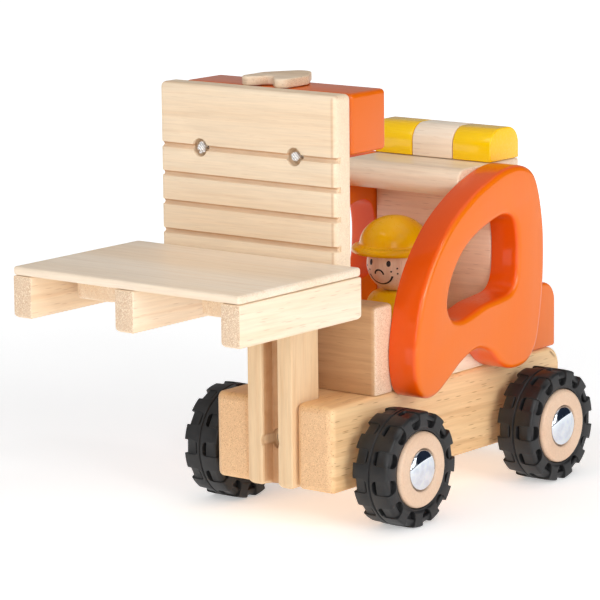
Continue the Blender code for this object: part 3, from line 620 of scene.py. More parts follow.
def joined(name, pieces):
    """Join pieces into one."""
    rest()
    for piece in pieces:
        piece.select_set(True)
    bpy.context.view_layer.objects.active = pieces[0]
    bpy.ops.object.join()
    obj = bpy.context.object
    obj.name = obj.data.name = name
    return obj


def round_piece(node):
    """Return the centre of a CAD pin or dowel that lies along Y, its two ends and its radius."""
    low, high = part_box(node)
    centre = (low + high) / 2
    ends = (centre.x, low.y, centre.z), (centre.x, high.y, centre.z)
    return centre, ends, (high.z - low.z) / 2


def done(obj, finish, body, slot, *nodes, smooth=30):
    """Give a finished piece its shading, finish and body, and hide the CAD nodes it stands for.

    body is None for a piece that spans two bodies and is attached to neither. slot is not used.
    """
    take(obj)
    bpy.ops.object.shade_smooth_by_angle(angle=math.radians(smooth))
    obj.data.materials.clear()
    obj.data.materials.append(finish)
    if body:
        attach(obj, body)
    if nodes:
        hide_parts(*nodes)
    return obj


# ---------------------------------------------------------------- chassis and mast

AXLE_R = 2.0 * MM
TAIL_ROUND = 9.0 * MM
PRONG_ROUND = 3.6 * MM
CHASSIS_ROUND = 1.9 * MM
GROOVE_HALF_W = 4.25 * MM
GROOVE_DEPTH = 7.5 * MM
MAST_FOOT_ROUND = 2.6 * MM
MAST_ROUND = 1.1 * MM
SCREW_Z = 36.0 * MM
SCREW_HOLE_R = 4.9 * MM
SCREW_SEAT_DEPTH = 10.5 * MM
SCREW_HEAD_R = 3.8 * MM
SCREW_HEAD_T = 2.2 * MM
SHANK_R = 1.75 * MM
BLADE_HALF_T = 0.4 * MM
BLADE_HALF_W = 2.2 * MM
BLADE_DEPTH = 1.3 * MM


def axle_places():
    """Return each axle's name, its y and its height."""
    places = []
    for end in ("front", "rear"):
        low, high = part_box(f"{end}_axle")
        places.append((end, (low.y + high.y) / 2, (low.z + high.z) / 2))
    return places


def build_chassis():
    """One block with a slot for the mast, bored for the axles."""
    low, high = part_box("chassis")
    chassis = block("chassis_block", low, high)
    round_edges(chassis, lambda e: both(e, 1, high.y) and both(e, 2, high.z), TAIL_ROUND, 12)
    mast_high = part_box("mast")[1]
    slot_half = mast_high.x + GAP
    slot = block("slot", (-slot_half, low.y - PAST, low.z - PAST),
                 (slot_half, mast_high.y + GAP, high.z + PAST))
    cut(chassis, slot)
    round_edges(chassis, lambda e: both(e, 1, low.y), PRONG_ROUND, 7)
    soften(chassis, CHASSIS_ROUND, 5)
    for _, y, z in axle_places():
        cut(chassis, peg("bore", (low.x - PAST, y, z), (high.x + PAST, y, z), AXLE_R + GAP, 32))
    done(chassis, CHASSIS_WOOD, "chassis", "rubberwood", "chassis")


def build_mast():
    """Grooved column, and the screw that holds it, in its counterbored hole."""
    low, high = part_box("mast")
    mast = block("mast_column", low, high)
    groove = block("groove", (-GROOVE_HALF_W, low.y - PAST, low.z - PAST),
                   (GROOVE_HALF_W, low.y + GROOVE_DEPTH, high.z + PAST))
    cut(mast, groove)
    front_foot = lambda e: both(e, 2, low.z) and any(v.co.y < low.y + MM for v in e.verts)
    round_edges(mast, front_foot, MAST_FOOT_ROUND, 6)
    soften(mast, MAST_ROUND, 5)
    seat_y = low.y + SCREW_SEAT_DEPTH
    cut(mast, peg("screw_hole", (0, low.y - PAST, SCREW_Z), (0, seat_y, SCREW_Z), SCREW_HOLE_R, 64))
    done(mast, MAST_WOOD, "chassis", "pale_wood", "mast")
    profile = [(0, 0.2 * MM), (SCREW_HEAD_R * 0.5, 0.35 * MM), (SCREW_HEAD_R * 0.85, 0.9 * MM)]
    profile += [(SCREW_HEAD_R, 1.6 * MM), (SCREW_HEAD_R, 2.0 * MM)]
    profile += [(SHANK_R, 2.1 * MM), (SHANK_R, 12 * MM), (0, 14 * MM)]
    head_y = seat_y - SCREW_HEAD_T
    screw = turned("mast_screw_head", profile, (0, head_y, SCREW_Z), "Y", 48)
    for half_x, half_z in ((BLADE_HALF_T, BLADE_HALF_W), (BLADE_HALF_W, BLADE_HALF_T)):
        cut(screw, block("cross", (-half_x, head_y - MM, SCREW_Z - half_z),
                         (half_x, head_y + BLADE_DEPTH, SCREW_Z + half_z)))
    done(screw, STEEL, "chassis", "plain_steel", "mast_screw")


# ---------------------------------------------------------------- head block and winder

CHAMBER_HALF_W = 30.0 * MM
CHAMBER_FRONT_Y = -34.4 * MM
CHAMBER_BACK_Y = -20.4 * MM
CHAMBER_TOP_Z = 181.0 * MM
SHAFT_R = 3.0 * MM
DRUM_BOTTOM_Z = 163.4 * MM
DRUM_TOP_Z = 180.4 * MM
DRUM_EASE = 0.5 * MM
WOUND_CORD_R = 0.8 * MM


def build_head_block():
    """Painted block with a hollow for the winder, and the two pins that turn the cords."""
    low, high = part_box("head_block")
    head = block("head_block_painted", low, high)
    round_edges(head, lambda e: True, 2.0 * MM, 6)
    chamber = block("chamber", (-CHAMBER_HALF_W, CHAMBER_FRONT_Y, low.z - PAST),
                    (CHAMBER_HALF_W, CHAMBER_BACK_Y, CHAMBER_TOP_Z))
    cut(head, chamber)
    done(head, HEAD_ORANGE, "chassis", "orange_paint", "head_block")
    for _, name in LEFT_AND_RIGHT:
        _, ends, radius = round_piece(f"guide_pin_{name}")
        pin = peg(f"cord_pin_{name}", *ends, radius)
        soften(pin, 0.2 * MM, 3)
        done(pin, STEEL, "chassis", "plain_steel", f"guide_pin_{name}")


def knob_outline(low, high):
    """Heart-like outline seen from above: two front lobes with a notch, narrowing to the back."""
    lobe_r, back_r = 4.5 * MM, 6.0 * MM
    notch_half, notch_deep = 4.2 * MM, 7.6 * MM
    half_w, half_d = (high.x - low.x) / 2, (high.y - low.y) / 2
    middle_y = (low.y + high.y) / 2
    lobe_x, lobe_y = half_w - lobe_r, lobe_r - half_d
    notch_y = notch_deep - half_d
    points = [(0, notch_y), (notch_half * 0.42, notch_y - notch_deep * 0.08)]
    points += [(notch_half * 0.75, notch_y - notch_deep * 0.3), (notch_half, notch_y - notch_deep * 0.62)]
    points += arc((lobe_x, lobe_y), lobe_r, -95, 0, 10)
    points += arc((lobe_x, 0), lobe_r, 4, 35, 4)
    points += arc((0, half_d - back_r), back_r, 35, 90, 8)
    points += [(-x, y) for x, y in reversed(points[1:-1])]
    return [(x, y + middle_y) for x, y in points]


def helix(name, centre, radius, rise, turns, cord_r):
    """Return a cord wound round Z."""
    count = int(turns * 24)
    points = []
    for step in range(count + 1):
        turn = 2 * math.pi * turns * step / count
        along = rise * (step / count - 0.5)
        points.append(centre + Vector((radius * math.cos(turn), radius * math.sin(turn), along)))
    return cord_tube(name, points, cord_r)


def build_winder():
    """Knob, shaft with its drum, and the cord wound on it."""
    low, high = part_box("knob")
    outline = knob_outline(low, high)
    knob = outlined("winding_knob", [(x, y, low.z) for x, y in outline], (0, 0, high.z - low.z))
    soften(knob, 0.7 * MM, 4, 50)
    done(knob, KNOB_WOOD, "winder", "pale_wood", "knob")
    shaft_low, shaft_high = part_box("winding_shaft")
    axis = Vector(((shaft_low.x + shaft_high.x) / 2, (shaft_low.y + shaft_high.y) / 2, 0))
    drum_r = (shaft_high.x - shaft_low.x) / 2
    ease = DRUM_EASE
    profile = [(0, shaft_low.z), (SHAFT_R - ease, shaft_low.z), (SHAFT_R, shaft_low.z + ease)]
    profile += [(SHAFT_R, DRUM_BOTTOM_Z), (drum_r - ease, DRUM_BOTTOM_Z), (drum_r, DRUM_BOTTOM_Z + ease)]
    profile += [(drum_r, DRUM_TOP_Z - ease), (drum_r - ease, DRUM_TOP_Z), (SHAFT_R, DRUM_TOP_Z)]
    profile += [(SHAFT_R, shaft_high.z), (0, shaft_high.z)]
    shaft = turned("winding_drum", profile, axis, "Z", 64)
    done(shaft, MAST_WOOD, "winder", "pale_wood", "winding_shaft")
    wound_low, wound_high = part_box("cord_winding")
    centre = (wound_low + wound_high) / 2
    wound_r = (wound_high.x - wound_low.x) / 2 - WOUND_CORD_R
    rise = wound_high.z - wound_low.z - 2.2 * WOUND_CORD_R
    winding = helix("wound_cord", centre, wound_r, rise, 2.5, WOUND_CORD_R)
    done(winding, CORD, "winder", "white_cord", "cord_winding")


# ---------------------------------------------------------------- carriage

PLATE_ROUND = 2.4 * MM
SCORE_R = 1.25 * MM
SCORE_SINK = 0.45 * MM
DENT_R = 1.3 * MM
DENT_DEPTH = 3.2 * MM
TINE_TIP_ROUND = 5.5 * MM
CORD_X = 25.0 * MM
CORD_R = 1.0 * MM
CORD_HOLE_R = 1.5 * MM
KNOT_HOLE_R = 3.9 * MM
KNOT_HOLE_DEPTH = 6.0 * MM
KNOT_SINK = 2.6 * MM
KNOT_CORD_R = 0.78 * MM
KNOT_WRAP_R = 1.12 * MM
KNOT_TURNS = 2.5
KNOT_STEPS = 56


def build_plate():
    """Board with four scores across its face, two knot holes, and bores for the dowels."""
    low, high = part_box("backrest_plate")
    plate = block("backrest_board", low, high)
    round_edges(plate, lambda e: True, PLATE_ROUND, 6)
    reach = high.x + PAST
    front, back = low.y - PAST, high.y + PAST
    score_y = low.y + SCORE_SINK
    for row in range(GROOVE_ROWS):
        z = TOP_GROOVE_Z - row * GROOVE_STEP
        cut(plate, peg("score", (-reach, score_y, z), (reach, score_y, z), SCORE_R, 24))
        for side in (-1, 1):
            dent_x = side * (high.x + 0.2 * MM)
            cut(plate, peg("dent", (dent_x, front, z), (dent_x, low.y + DENT_DEPTH, z), DENT_R, 24))
    hole_end = low.y + KNOT_HOLE_DEPTH
    for side, name in LEFT_AND_RIGHT:
        x = side * CORD_X
        z = TOP_GROOVE_Z
        cut(plate, peg("hole", (x, front, z), (x, hole_end, z), KNOT_HOLE_R, 64))
        cut(plate, peg("cord_hole", (x, hole_end - MM, z), (x, back, z), CORD_HOLE_R, 32))
        for place in ("inner", "outer"):
            centre, _, radius = round_piece(f"fork_dowel_{name}_{place}")
            bore = peg("bore", (centre.x, front, centre.z), (centre.x, back, centre.z), radius + GAP, 40)
            cut(plate, bore)
    soften(plate, 0.4 * MM, 3, 42)
    done(plate, PLATE_WOOD, "carriage", "pale_wood", "backrest_plate")


def build_forks():
    """The two tines, their dowels, and the tongue that runs in the mast's groove."""
    for _, name in LEFT_AND_RIGHT:
        low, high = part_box(f"fork_tine_{name}")
        tine = block(f"fork_{name}", low, high)
        tip = lambda e: both(e, 1, low.y) and not on(e.verts[0].co.z, e.verts[1].co.z)
        round_edges(tine, tip, TINE_TIP_ROUND, 10)
        soften(tine, 1.2 * MM, 4)
        for place in ("inner", "outer"):
            node = f"fork_dowel_{name}_{place}"
            centre, ends, radius = round_piece(node)
            hole_start = (centre.x, ends[0][1] - GAP, centre.z)
            hole_end = (centre.x, high.y + PAST, centre.z)
            cut(tine, peg("bore", hole_start, hole_end, radius + GAP, 40))
            dowel = peg(f"dowel_{name}_{place}", *ends, radius)
            soften(dowel, 0.4 * MM, 3)
            done(dowel, FORK_WOOD, "carriage", "pale_wood", node)
        done(tine, FORK_WOOD, "carriage", "pale_wood", f"fork_tine_{name}")
    low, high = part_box("guide_tongue")
    tongue = block("mast_tongue", low, high)
    round_edges(tongue, lambda e: True, 1.0 * MM, 5)
    done(tongue, MAST_WOOD, "carriage", "pale_wood", "guide_tongue")


def build_knots():
    """Stopper knots in the plate's holes: one lies upright, the other shows its cut end."""
    leans = {"left": (Matrix.Rotation(1.25, 3, "X"), 1.3), "right": (Matrix.Rotation(0.25, 3, "Y"), 2.4)}
    for side, name in LEFT_AND_RIGHT:
        low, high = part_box(f"lift_knot_{name}")
        x, hole_z = side * CORD_X, TOP_GROOVE_Z
        centre = Vector((x, low.y + KNOT_SINK, hole_z))
        lean, rise = leans[name]
        core = []
        for step in range(KNOT_STEPS + 1):
            turn = 2 * math.pi * KNOT_TURNS * step / KNOT_STEPS
            along = rise * MM * (step / KNOT_STEPS - 0.5)
            around = Vector((math.cos(turn), math.sin(turn), 0)) * KNOT_WRAP_R
            core.append(centre + lean @ (around + Vector((0, 0, along))))
        wraps = cord_tube(f"knot_{name}", core, KNOT_CORD_R)
        axis = lean @ Vector((0, 0, 1))
        reach = (rise / 2 + 1.35) * MM
        end = cord_tube("cut_end", [centre - axis * reach, centre, centre + axis * reach], KNOT_CORD_R)
        tail = [centre, Vector((x, centre.y + 3 * MM, hole_z)), Vector((x, high.y, hole_z))]
        run = cord_tube("tail", tail, KNOT_CORD_R)
        knot = joined(f"knot_{name}", [wraps, end, run])
        done(knot, CORD, "carriage", "white_cord", f"lift_knot_{name}", smooth=60)


def build_lift_cords():
    """The two cords from the winding, over their pins and under the block to the plate's back."""
    winding_low, winding_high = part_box("cord_winding")
    plate_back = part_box("backrest_plate")[1].y
    block_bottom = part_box("head_block")[0].z
    drum_y = (winding_low.y + winding_high.y) / 2
    winding_z = (winding_low.z + winding_high.z) / 2
    for side, name in LEFT_AND_RIGHT:
        pin, _, pin_r = round_piece(f"guide_pin_{name}")
        over_r = pin_r + CORD_R + GAP
        corners = [(side * (winding_high.x + 1.4 * MM), drum_y, winding_z),
                   (side * 14 * MM, drum_y, winding_z - 0.4 * MM)]
        for x, z in arc((0, 0), over_r, 90, 0, 4):
            corners.append((pin.x + side * x, drum_y, pin.z + z))
        below = block_bottom - CORD_R - GAP
        corners += [
            (side * CORD_X, drum_y - 1.5 * MM, block_bottom + 4.5 * MM),
            (side * CORD_X, drum_y - 4.5 * MM, below + 0.9 * MM),
            (side * CORD_X, drum_y - 8.0 * MM, below - 0.3 * MM),
            (side * CORD_X, drum_y - 11.5 * MM, below - 0.2 * MM),
            (side * CORD_X, plate_back + GAP, TOP_GROOVE_Z - 0.2 * MM),
        ]
        route = smooth_path([Vector(c) for c in corners], 6)
        cord = cord_tube(f"lift_line_{name}", route, CORD_R)
        done(cord, CORD, None, "white_cord", f"lift_cord_{name}", smooth=60)
        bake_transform(cord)


# ---------------------------------------------------------------- pallet

def build_pallet():
    """Thin sheet on three runners."""
    low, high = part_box("pallet_sheet")
    sheet = block("pallet_top_sheet", low, high)
    round_edges(sheet, lambda e: not on(e.verts[0].co.z, e.verts[1].co.z), 1.6 * MM, 5)
    soften(sheet, 1.1 * MM, 5, 50)
    done(sheet, SHEET_WOOD, "pallet", "pale_wood", "pallet_sheet")
    for name in ("left", "middle", "right"):
        low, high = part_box(f"pallet_runner_{name}")
        runner = block(f"runner_{name}", low, high)
        bottom = low.z
        round_edges(runner, lambda e: both(e, 2, bottom), 2.0 * MM, 6)
        soften(runner, 0.6 * MM, 4, 50)
        done(runner, RUNNER_WOOD, "pallet", "pale_wood", f"pallet_runner_{name}")


# ---------------------------------------------------------------- cab

SEAT_Y = 50.0 * MM
SEAT_R = 13.4 * MM
SEAT_DEPTH = 7.5 * MM
REAR_ROUND = 9.0 * MM
LIGHT_ROUND = 8.0 * MM
RIM_ROUND = 2.6 * MM
INNER_RIM_ROUND = 0.5 * MM
RIM_ANGLE = 0.8
PANEL_OUTLINE = (
    (2.5, 75), (2.9, 62), (6.1, 54), (12.5, 51.3), (19.6, 52.8), (28.1, 57.9), (37.1, 63.5), (48, 67),
    (57.6, 64.6), (65.6, 57.9), (74, 54.2), (84.9, 54.8), (92.4, 61.2), (95.7, 71.7), (98.2, 86.7),
    (99.1, 100.6), (98.5, 115.6), (95.3, 130.6), (90.7, 139.3), (82.4, 143.4), (71, 143.5), (58, 140),
    (44, 134), (28, 123.5), (15, 109), (7, 94),
)
WINDOW_OUTLINE = (
    (26.3, 90.7), (29.6, 101.1), (37.1, 110.6), (46, 116.6), (57, 120.9), (68.2, 123.2), (75.6, 120.5),
    (78, 113), (78.3, 104), (77, 94), (72.6, 88.6), (64, 87), (54, 86), (45, 83.6), (36.3, 81.9),
    (29, 83.8),
)


def build_cab_blocks():
    """Dash, floor with the driver's socket, rear wall, and the painted block behind it."""
    low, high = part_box("dash_block")
    dash = block("dash", low, high)
    round_edges(dash, lambda e: not both(e, 2, low.z), 2.2 * MM, 6)
    done(dash, DASH_WOOD_SHADED, "chassis", "rubberwood", "dash_block")
    low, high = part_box("cab_floor")
    floor = block("cab_floor_board", low, high)
    round_edges(floor, lambda e: True, 0.8 * MM, 4)
    top = high.z
    cut(floor, peg("socket", (0, SEAT_Y, top - SEAT_DEPTH), (0, SEAT_Y, top + PAST), SEAT_R, 96))
    done(floor, FLOOR_WOOD, "chassis", "rubberwood", "cab_floor")
    low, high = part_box("rear_wall")
    wall = block("cab_rear_wall", low, high)
    round_edges(wall, lambda e: True, 0.8 * MM, 4)
    done(wall, WALL_WOOD, "chassis", "pale_wood", "rear_wall")
    low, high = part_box("rear_block")
    rear = block("engine_block", low, high)
    round_edges(rear, lambda e: both(e, 1, high.y) and both(e, 2, high.z), REAR_ROUND, 14)
    soften(rear, 1.4 * MM, 5)
    done(rear, ORANGE, "chassis", "orange_paint", "rear_block")


def build_roof():
    """Roof board with a round front edge, and the three segments of the light bar on it."""
    low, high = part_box("roof")
    roof = block("roof_board", low, high)
    half_t = (high.z - low.z) / 2
    front_edges = lambda e: both(e, 1, low.y) and on(e.verts[0].co.z, e.verts[1].co.z)
    round_edges(roof, front_edges, half_t * 0.98, 16)
    soften(roof, 0.8 * MM, 4, 50)
    done(roof, ROOF_WOOD, "chassis", "pale_wood", "roof")
    for name, finish, slot in (
        ("left", YELLOW, "yellow_paint"),
        ("middle", BAR_WOOD, "pale_wood"),
        ("right", YELLOW, "yellow_paint"),
    ):
        low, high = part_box(f"light_bar_{name}")
        bar = block(f"roof_light_{name}", low, high)
        along_top = lambda e: both(e, 2, high.z) and not on(e.verts[0].co.x, e.verts[1].co.x)
        round_edges(bar, along_top, LIGHT_ROUND, 14)
        soften(bar, 0.55 * MM, 4, 50)
        done(bar, finish, "chassis", slot, f"light_bar_{name}")


def build_side_panels():
    """Two painted panels with an arch below, a window, and a rounded outer rim."""
    for side, name in LEFT_AND_RIGHT:
        low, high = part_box(f"side_panel_{name}")
        inner, outer = (low.x, high.x) if side > 0 else (high.x, low.x)
        run = (outer - inner, 0, 0)
        panel = outlined(f"cab_side_{name}", [(inner, y, z) for y, z in smooth_loop(PANEL_OUTLINE)], run)
        start = inner - side * PAST
        past = (outer - inner + side * 2 * PAST, 0, 0)
        window = outlined("window", [(start, y, z) for y, z in smooth_loop(WINDOW_OUTLINE)], past)
        cut(panel, window)
        for x, width, steps in ((outer, RIM_ROUND, 6), (inner, INNER_RIM_ROUND, 3)):
            rim = lambda e: both(e, 0, x) and e.is_manifold and e.calc_face_angle() > RIM_ANGLE
            round_edges(panel, rim, width, steps)
        done(panel, ORANGE, "chassis", "orange_paint", f"side_panel_{name}")


# ---------------------------------------------------------------- driver

FACE_TURN = math.radians(1.5)
SHOULDER_RISE = 8 * MM
SHOULDER_REACH = 6 * MM
HEAD_R = 12.4 * MM
HEAD_Z = 100.3 * MM
NECK_R = 4 * MM
DOME_R = 15.6 * MM
BRIM_T = 3.4 * MM
INK_LINE = 0.42 * MM


def build_driver():
    """Turned peg body, head and helmet, and the printed face."""
    low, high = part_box("driver_body")
    centre = (0, SEAT_Y, 0)
    body_r = high.x
    ease = 0.8 * MM
    shoulder_z = high.z - SHOULDER_RISE
    profile = [(0, low.z), (body_r - ease, low.z), (body_r, low.z + ease), (body_r, shoulder_z)]
    for degrees in range(8, 85, 8):
        turn = math.radians(degrees)
        profile.append((body_r - SHOULDER_REACH * (1 - math.cos(turn)),
                        shoulder_z + SHOULDER_RISE * math.sin(turn)))
    profile += [(body_r - 7 * MM, high.z), (0, high.z)]
    shirt = turned("driver_shirt", profile, centre)
    done(shirt, SHIRT_YELLOW, "driver", "yellow_paint", "driver_body")
    low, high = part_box("driver_head")
    profile = [(0, low.z)]
    for step in range(25):
        z = low.z + (high.z - low.z) * step / 24
        profile.append((math.sqrt(max(HEAD_R ** 2 - (z - HEAD_Z) ** 2, NECK_R ** 2)), z))
    profile.append((0, high.z))
    head = turned("driver_face_ball", profile, centre, steps=128)
    done(head, HEAD_WOOD, "driver", "pale_wood", "driver_head")
    low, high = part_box("driver_helmet")
    brim_r = high.x
    brim_top = low.z + BRIM_T
    brim_half = (brim_top - low.z) / 2
    profile = [(0, low.z)]
    profile += arc((brim_r - brim_half, low.z + brim_half), brim_half, -90, 90, 12)
    profile += [(DOME_R + 1.6 * MM, brim_top), (DOME_R + 0.5 * MM, brim_top + 0.3 * MM)]
    height = high.z - brim_top
    for degrees in range(4, 88, 6):
        turn = math.radians(degrees)
        profile.append((DOME_R * math.cos(turn), brim_top + height * math.sin(turn)))
    profile.append((0, high.z))
    helmet = turned("driver_hard_hat", profile, centre, steps=128)
    done(helmet, AMBER, "driver", "yellow_paint", "driver_helmet")
    build_face()


def on_head(azimuth, elevation, lift=0.0):
    """Return the point of the driver's head at angles in degrees from where it looks."""
    turn, up = math.radians(azimuth) + FACE_TURN, math.radians(elevation)
    out = Vector((math.sin(turn) * math.cos(up), -math.cos(turn) * math.cos(up), math.sin(up)))
    return Vector((0, SEAT_Y, HEAD_Z)) + out * (HEAD_R + lift)


def pressed(obj):
    """Flatten a mark onto the head until it stands only a hair proud."""
    centre = Vector((0, SEAT_Y, HEAD_Z))
    for vertex in obj.data.vertices:
        out = vertex.co - centre
        vertex.co = centre + out.normalized() * (HEAD_R + (out.length - HEAD_R) * 0.12 + 0.03 * MM)
    return obj


def dot_mark(name, azimuth, elevation, half_w, half_h):
    """Return an oval printed on the head."""
    rest()
    place = on_head(azimuth, elevation)
    bpy.ops.mesh.primitive_uv_sphere_add(segments=24, ring_count=16, radius=1, location=place)
    obj = bpy.context.object
    obj.name = obj.data.name = name
    obj.rotation_euler = (place - Vector((0, SEAT_Y, HEAD_Z))).to_track_quat("Z", "Y").to_euler()
    obj.scale = (half_w, half_h, min(half_w, half_h))
    settle(obj)
    return pressed(obj)


def line_mark(name, angles, half_w):
    """Return a line printed on the head through azimuth and elevation points."""
    flat = smooth_path([Vector((azimuth, elevation, 0)) for azimuth, elevation in angles], 5)
    return pressed(cord_tube(name, [on_head(p.x, p.y) for p in flat], half_w))


def mirrored(half):
    """Return a line through its mirror image about x = 0, from its right half."""
    return [(-x, y) for x, y in reversed(half[1:])] + half


def build_face():
    """Two eyes, a button nose, a smile and freckles in black ink."""
    marks = []
    for side in (-1, 1):
        marks.append(dot_mark("eye", side * 22.2, 7.5, 1.0 * MM, 1.35 * MM))
        for azimuth, elevation in ((27.5, -8.5), (40, -2.0), (41, -13)):
            marks.append(dot_mark("freckle", side * azimuth, elevation, INK_LINE, INK_LINE))
    nose = mirrored([(0, -6.4), (4.2, -7.2), (8.6, -10.6), (10.8, -15.8)])
    marks.append(line_mark("nose", nose, INK_LINE))
    smile = mirrored([(0, -39.5), (10, -38), (19, -34), (26, -27.5), (29.5, -20)])
    marks.append(line_mark("smile", smile, INK_LINE))
    for side in (-1, 1):
        dimple = [(side * 27.5, -19.6), (side * 29.5, -20), (side * 31.5, -21.2)]
        marks.append(line_mark("dimple", dimple, 0.34 * MM))
    done(joined("driver_face_marks", marks), INK, "driver", "pale_wood", smooth=60)


# ---------------------------------------------------------------- running gear

TYRE_R = 25.0 * MM
POCKETS = 12
POCKET_TURN = 360 / POCKETS
POCKET_HALF = 3.1 * MM
PAD_DEPTH = 0.75 * MM
DEEP = 2.5 * MM
CRESCENT = 1.2 * MM
NOTCH_BOTTOM = TYRE_R - 4.2 * MM
SHOULDER_R = 1.15 * MM
HUB_RECESS_R = 9.25 * MM
HUB_RECESS = 3.0 * MM
HUB_ROUND = 1.9 * MM
HUB_LIP = 0.8 * MM
CAP_BORE = 2.3 * MM
CAP_RIM = 2.0 * MM
# how far each wheel has rolled, in degrees
PHASES = {"front_left": 20.0, "front_right": 1.0, "rear_left": 1.0, "rear_right": 16.0}


def tyre_profile(inner_r, low, high):
    """Closed section of the tyre from (radius, x) points, symmetric about its middle."""
    middle = (low + high) / 2
    half = (high - low) / 2
    bead = 0.5 * MM
    sidewall = [(inner_r, half - 1.0 * MM), (inner_r + 0.3 * MM, half - bead)]
    sidewall += [(inner_r + 1.0 * MM, half - bead), (inner_r + 1.4 * MM, half - 0.15 * MM)]
    sidewall += [(inner_r + 2.4 * MM, half)]
    shoulder = arc((TYRE_R - SHOULDER_R - 0.15 * MM, half - SHOULDER_R), SHOULDER_R, 88, 8, 6)
    shoulder += [(TYRE_R, half - 3.4 * MM)]
    centre_line = [(TYRE_R, 0.55 * MM), (TYRE_R - 0.6 * MM, 0.35 * MM)]
    outer = sidewall + shoulder + centre_line
    inner = [(r, -x) for r, x in reversed(outer)]
    return [(r, middle + x) for r, x in outer + inner]


def pocket_cutter(name, side_x, outward, half_width):
    """Return the cutter of one tread pocket, which wraps over the shoulder onto the sidewall.

    Its middle is a shallow pad and both its ends are deep crescents. side_x is the sidewall's
    plane, outward its direction along X, and half_width half of the tyre's width.
    """
    inner_x = side_x - outward * (half_width - 1.5 * MM)
    end_r = 1.7 * MM
    outline = []
    for x, y in arc((0, 0), end_r, 180, 90, 7):
        outline.append((inner_x + outward * (end_r + x), POCKET_HALF - end_r + y))
    outline.append((side_x + outward * 2 * MM, POCKET_HALF))
    outline += [(x, -y) for x, y in reversed(outline)]
    tread_floor = TYRE_R - DEEP
    tool = outlined(name, [(x, y, tread_floor) for x, y in outline], (0, 0, DEEP + 2 * MM))
    notch = outlined("notch", notch_outline(side_x - outward * DEEP), (outward * 4 * MM, 0, 0))
    apply(tool, "BOOLEAN", operation="UNION", solver="EXACT", object=notch)
    bpy.data.objects.remove(notch, do_unlink=True)
    pad = outlined("pad", pad_outline(side_x, outward, inner_x), (0, 2 * POCKET_HALF + 2 * MM, 0))
    cut(tool, pad)
    return tool


def pad_outline(side_x, outward, inner_x):
    """Section of the pad that the crescents leave between them, round over the shoulder."""
    y = -POCKET_HALF - MM
    top, face = TYRE_R - PAD_DEPTH, side_x - outward * PAD_DEPTH
    low = NOTCH_BOTTOM + 0.2 * MM
    round_r = 2.2 * MM
    ease = 0.4 * MM
    points = [(inner_x + outward * CRESCENT, TYRE_R - 2 * DEEP)]
    points += [(inner_x + outward * CRESCENT, top - ease), (inner_x + outward * (CRESCENT + ease), top)]
    for x, z in arc((0, top - round_r), round_r, 90, 0, 6):
        points.append((face - outward * (round_r - x), z))
    points += [(face, low + ease), (face - outward * ease, low), (face - outward * 2 * DEEP, low)]
    return [(x, y, z) for x, z in points]


def notch_outline(x):
    """Outline of the pocket's rounded end on the sidewall."""
    points = [(x, POCKET_HALF, TYRE_R + 2 * MM), (x, POCKET_HALF, NOTCH_BOTTOM)]
    points += [(x, y, z) for y, z in arc((0, NOTCH_BOTTOM), POCKET_HALF * 0.9, -12, -168, 12)]
    points += [(x, -POCKET_HALF, NOTCH_BOTTOM), (x, -POCKET_HALF, TYRE_R + 2 * MM)]
    return points


def build_tyre():
    """Return one tyre about the X axis through the origin, for a left wheel."""
    low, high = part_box("tyre_front_left")
    hub_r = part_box("hub_front_left")[1].z - (low.z + high.z) / 2
    section = tyre_profile(hub_r + GAP, low.x, high.x)
    tyre = turned("tread_pattern", section + section[:1], (0, 0, 0), "X", 120)
    for side_x, outward in ((high.x, 1), (low.x, -1)):
        source = pocket_cutter("pocket", side_x, outward, (high.x - low.x) / 2)
        tools = []
        for number in range(POCKETS):
            tool = copied(source, "pocket")
            turn_about_x(tool, number * POCKET_TURN)
            tools.append(tool)
        bpy.data.objects.remove(source, do_unlink=True)
        cut(tyre, joined("pockets", tools))
    soften(tyre, 0.2 * MM, 2, 38)
    return tyre


def build_hub():
    """Return one hub about the X axis through the origin, for a left wheel."""
    low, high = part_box("hub_front_left")
    inner, outer = low.x, high.x
    bore = AXLE_R + GAP
    edge_r = (high.z - low.z) / 2 - HUB_ROUND
    profile = [(bore, inner), (edge_r, inner)]
    profile += arc((edge_r, inner + HUB_ROUND), HUB_ROUND, -78, 0, 6)
    profile += arc((edge_r, outer - HUB_ROUND), HUB_ROUND, 0, 90, 9)
    profile += arc((HUB_RECESS_R + HUB_LIP, outer - HUB_LIP), HUB_LIP, 90, 180, 7)
    profile += [(HUB_RECESS_R, outer - HUB_RECESS), (bore, outer - HUB_RECESS)]
    return turned("turned_hub", profile + profile[:1], (0, 0, 0), "X", 128)


def build_wheels():
    """Tyre, hub and cap of each wheel, and the two axles."""
    tyre, hub = build_tyre(), build_hub()
    for end, y, z in axle_places():
        for side, hand in LEFT_AND_RIGHT:
            wheel = f"{end}_{hand}"
            for source, part, finish, slot in (
                (tyre, "tyre", RUBBER, "black_rubber"),
                (hub, "hub", HUB_WOOD, "pale_wood"),
            ):
                piece = copied(source, f"{part}_piece_{wheel}")
                turn_about_x(piece, PHASES[wheel] if part == "tyre" else PHASES[wheel] * 3)
                piece.location = (0, y, z)
                piece.scale = (side, 1, 1)
                settle(piece)
                tidy_faces(piece)
                done(piece, finish, f"wheel_{wheel}", slot, f"{part}_{wheel}", smooth=38)
            build_cap(wheel, side, y, z)
        axle_low, axle_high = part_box(f"{end}_axle")
        axle = peg(f"{end}_axle_rod", (axle_low.x, y, z), (axle_high.x, y, z), AXLE_R)
        soften(axle, 0.3 * MM, 3)
        done(axle, STEEL, "chassis", "plain_steel", f"{end}_axle")
    for source in (tyre, hub):
        bpy.data.objects.remove(source, do_unlink=True)


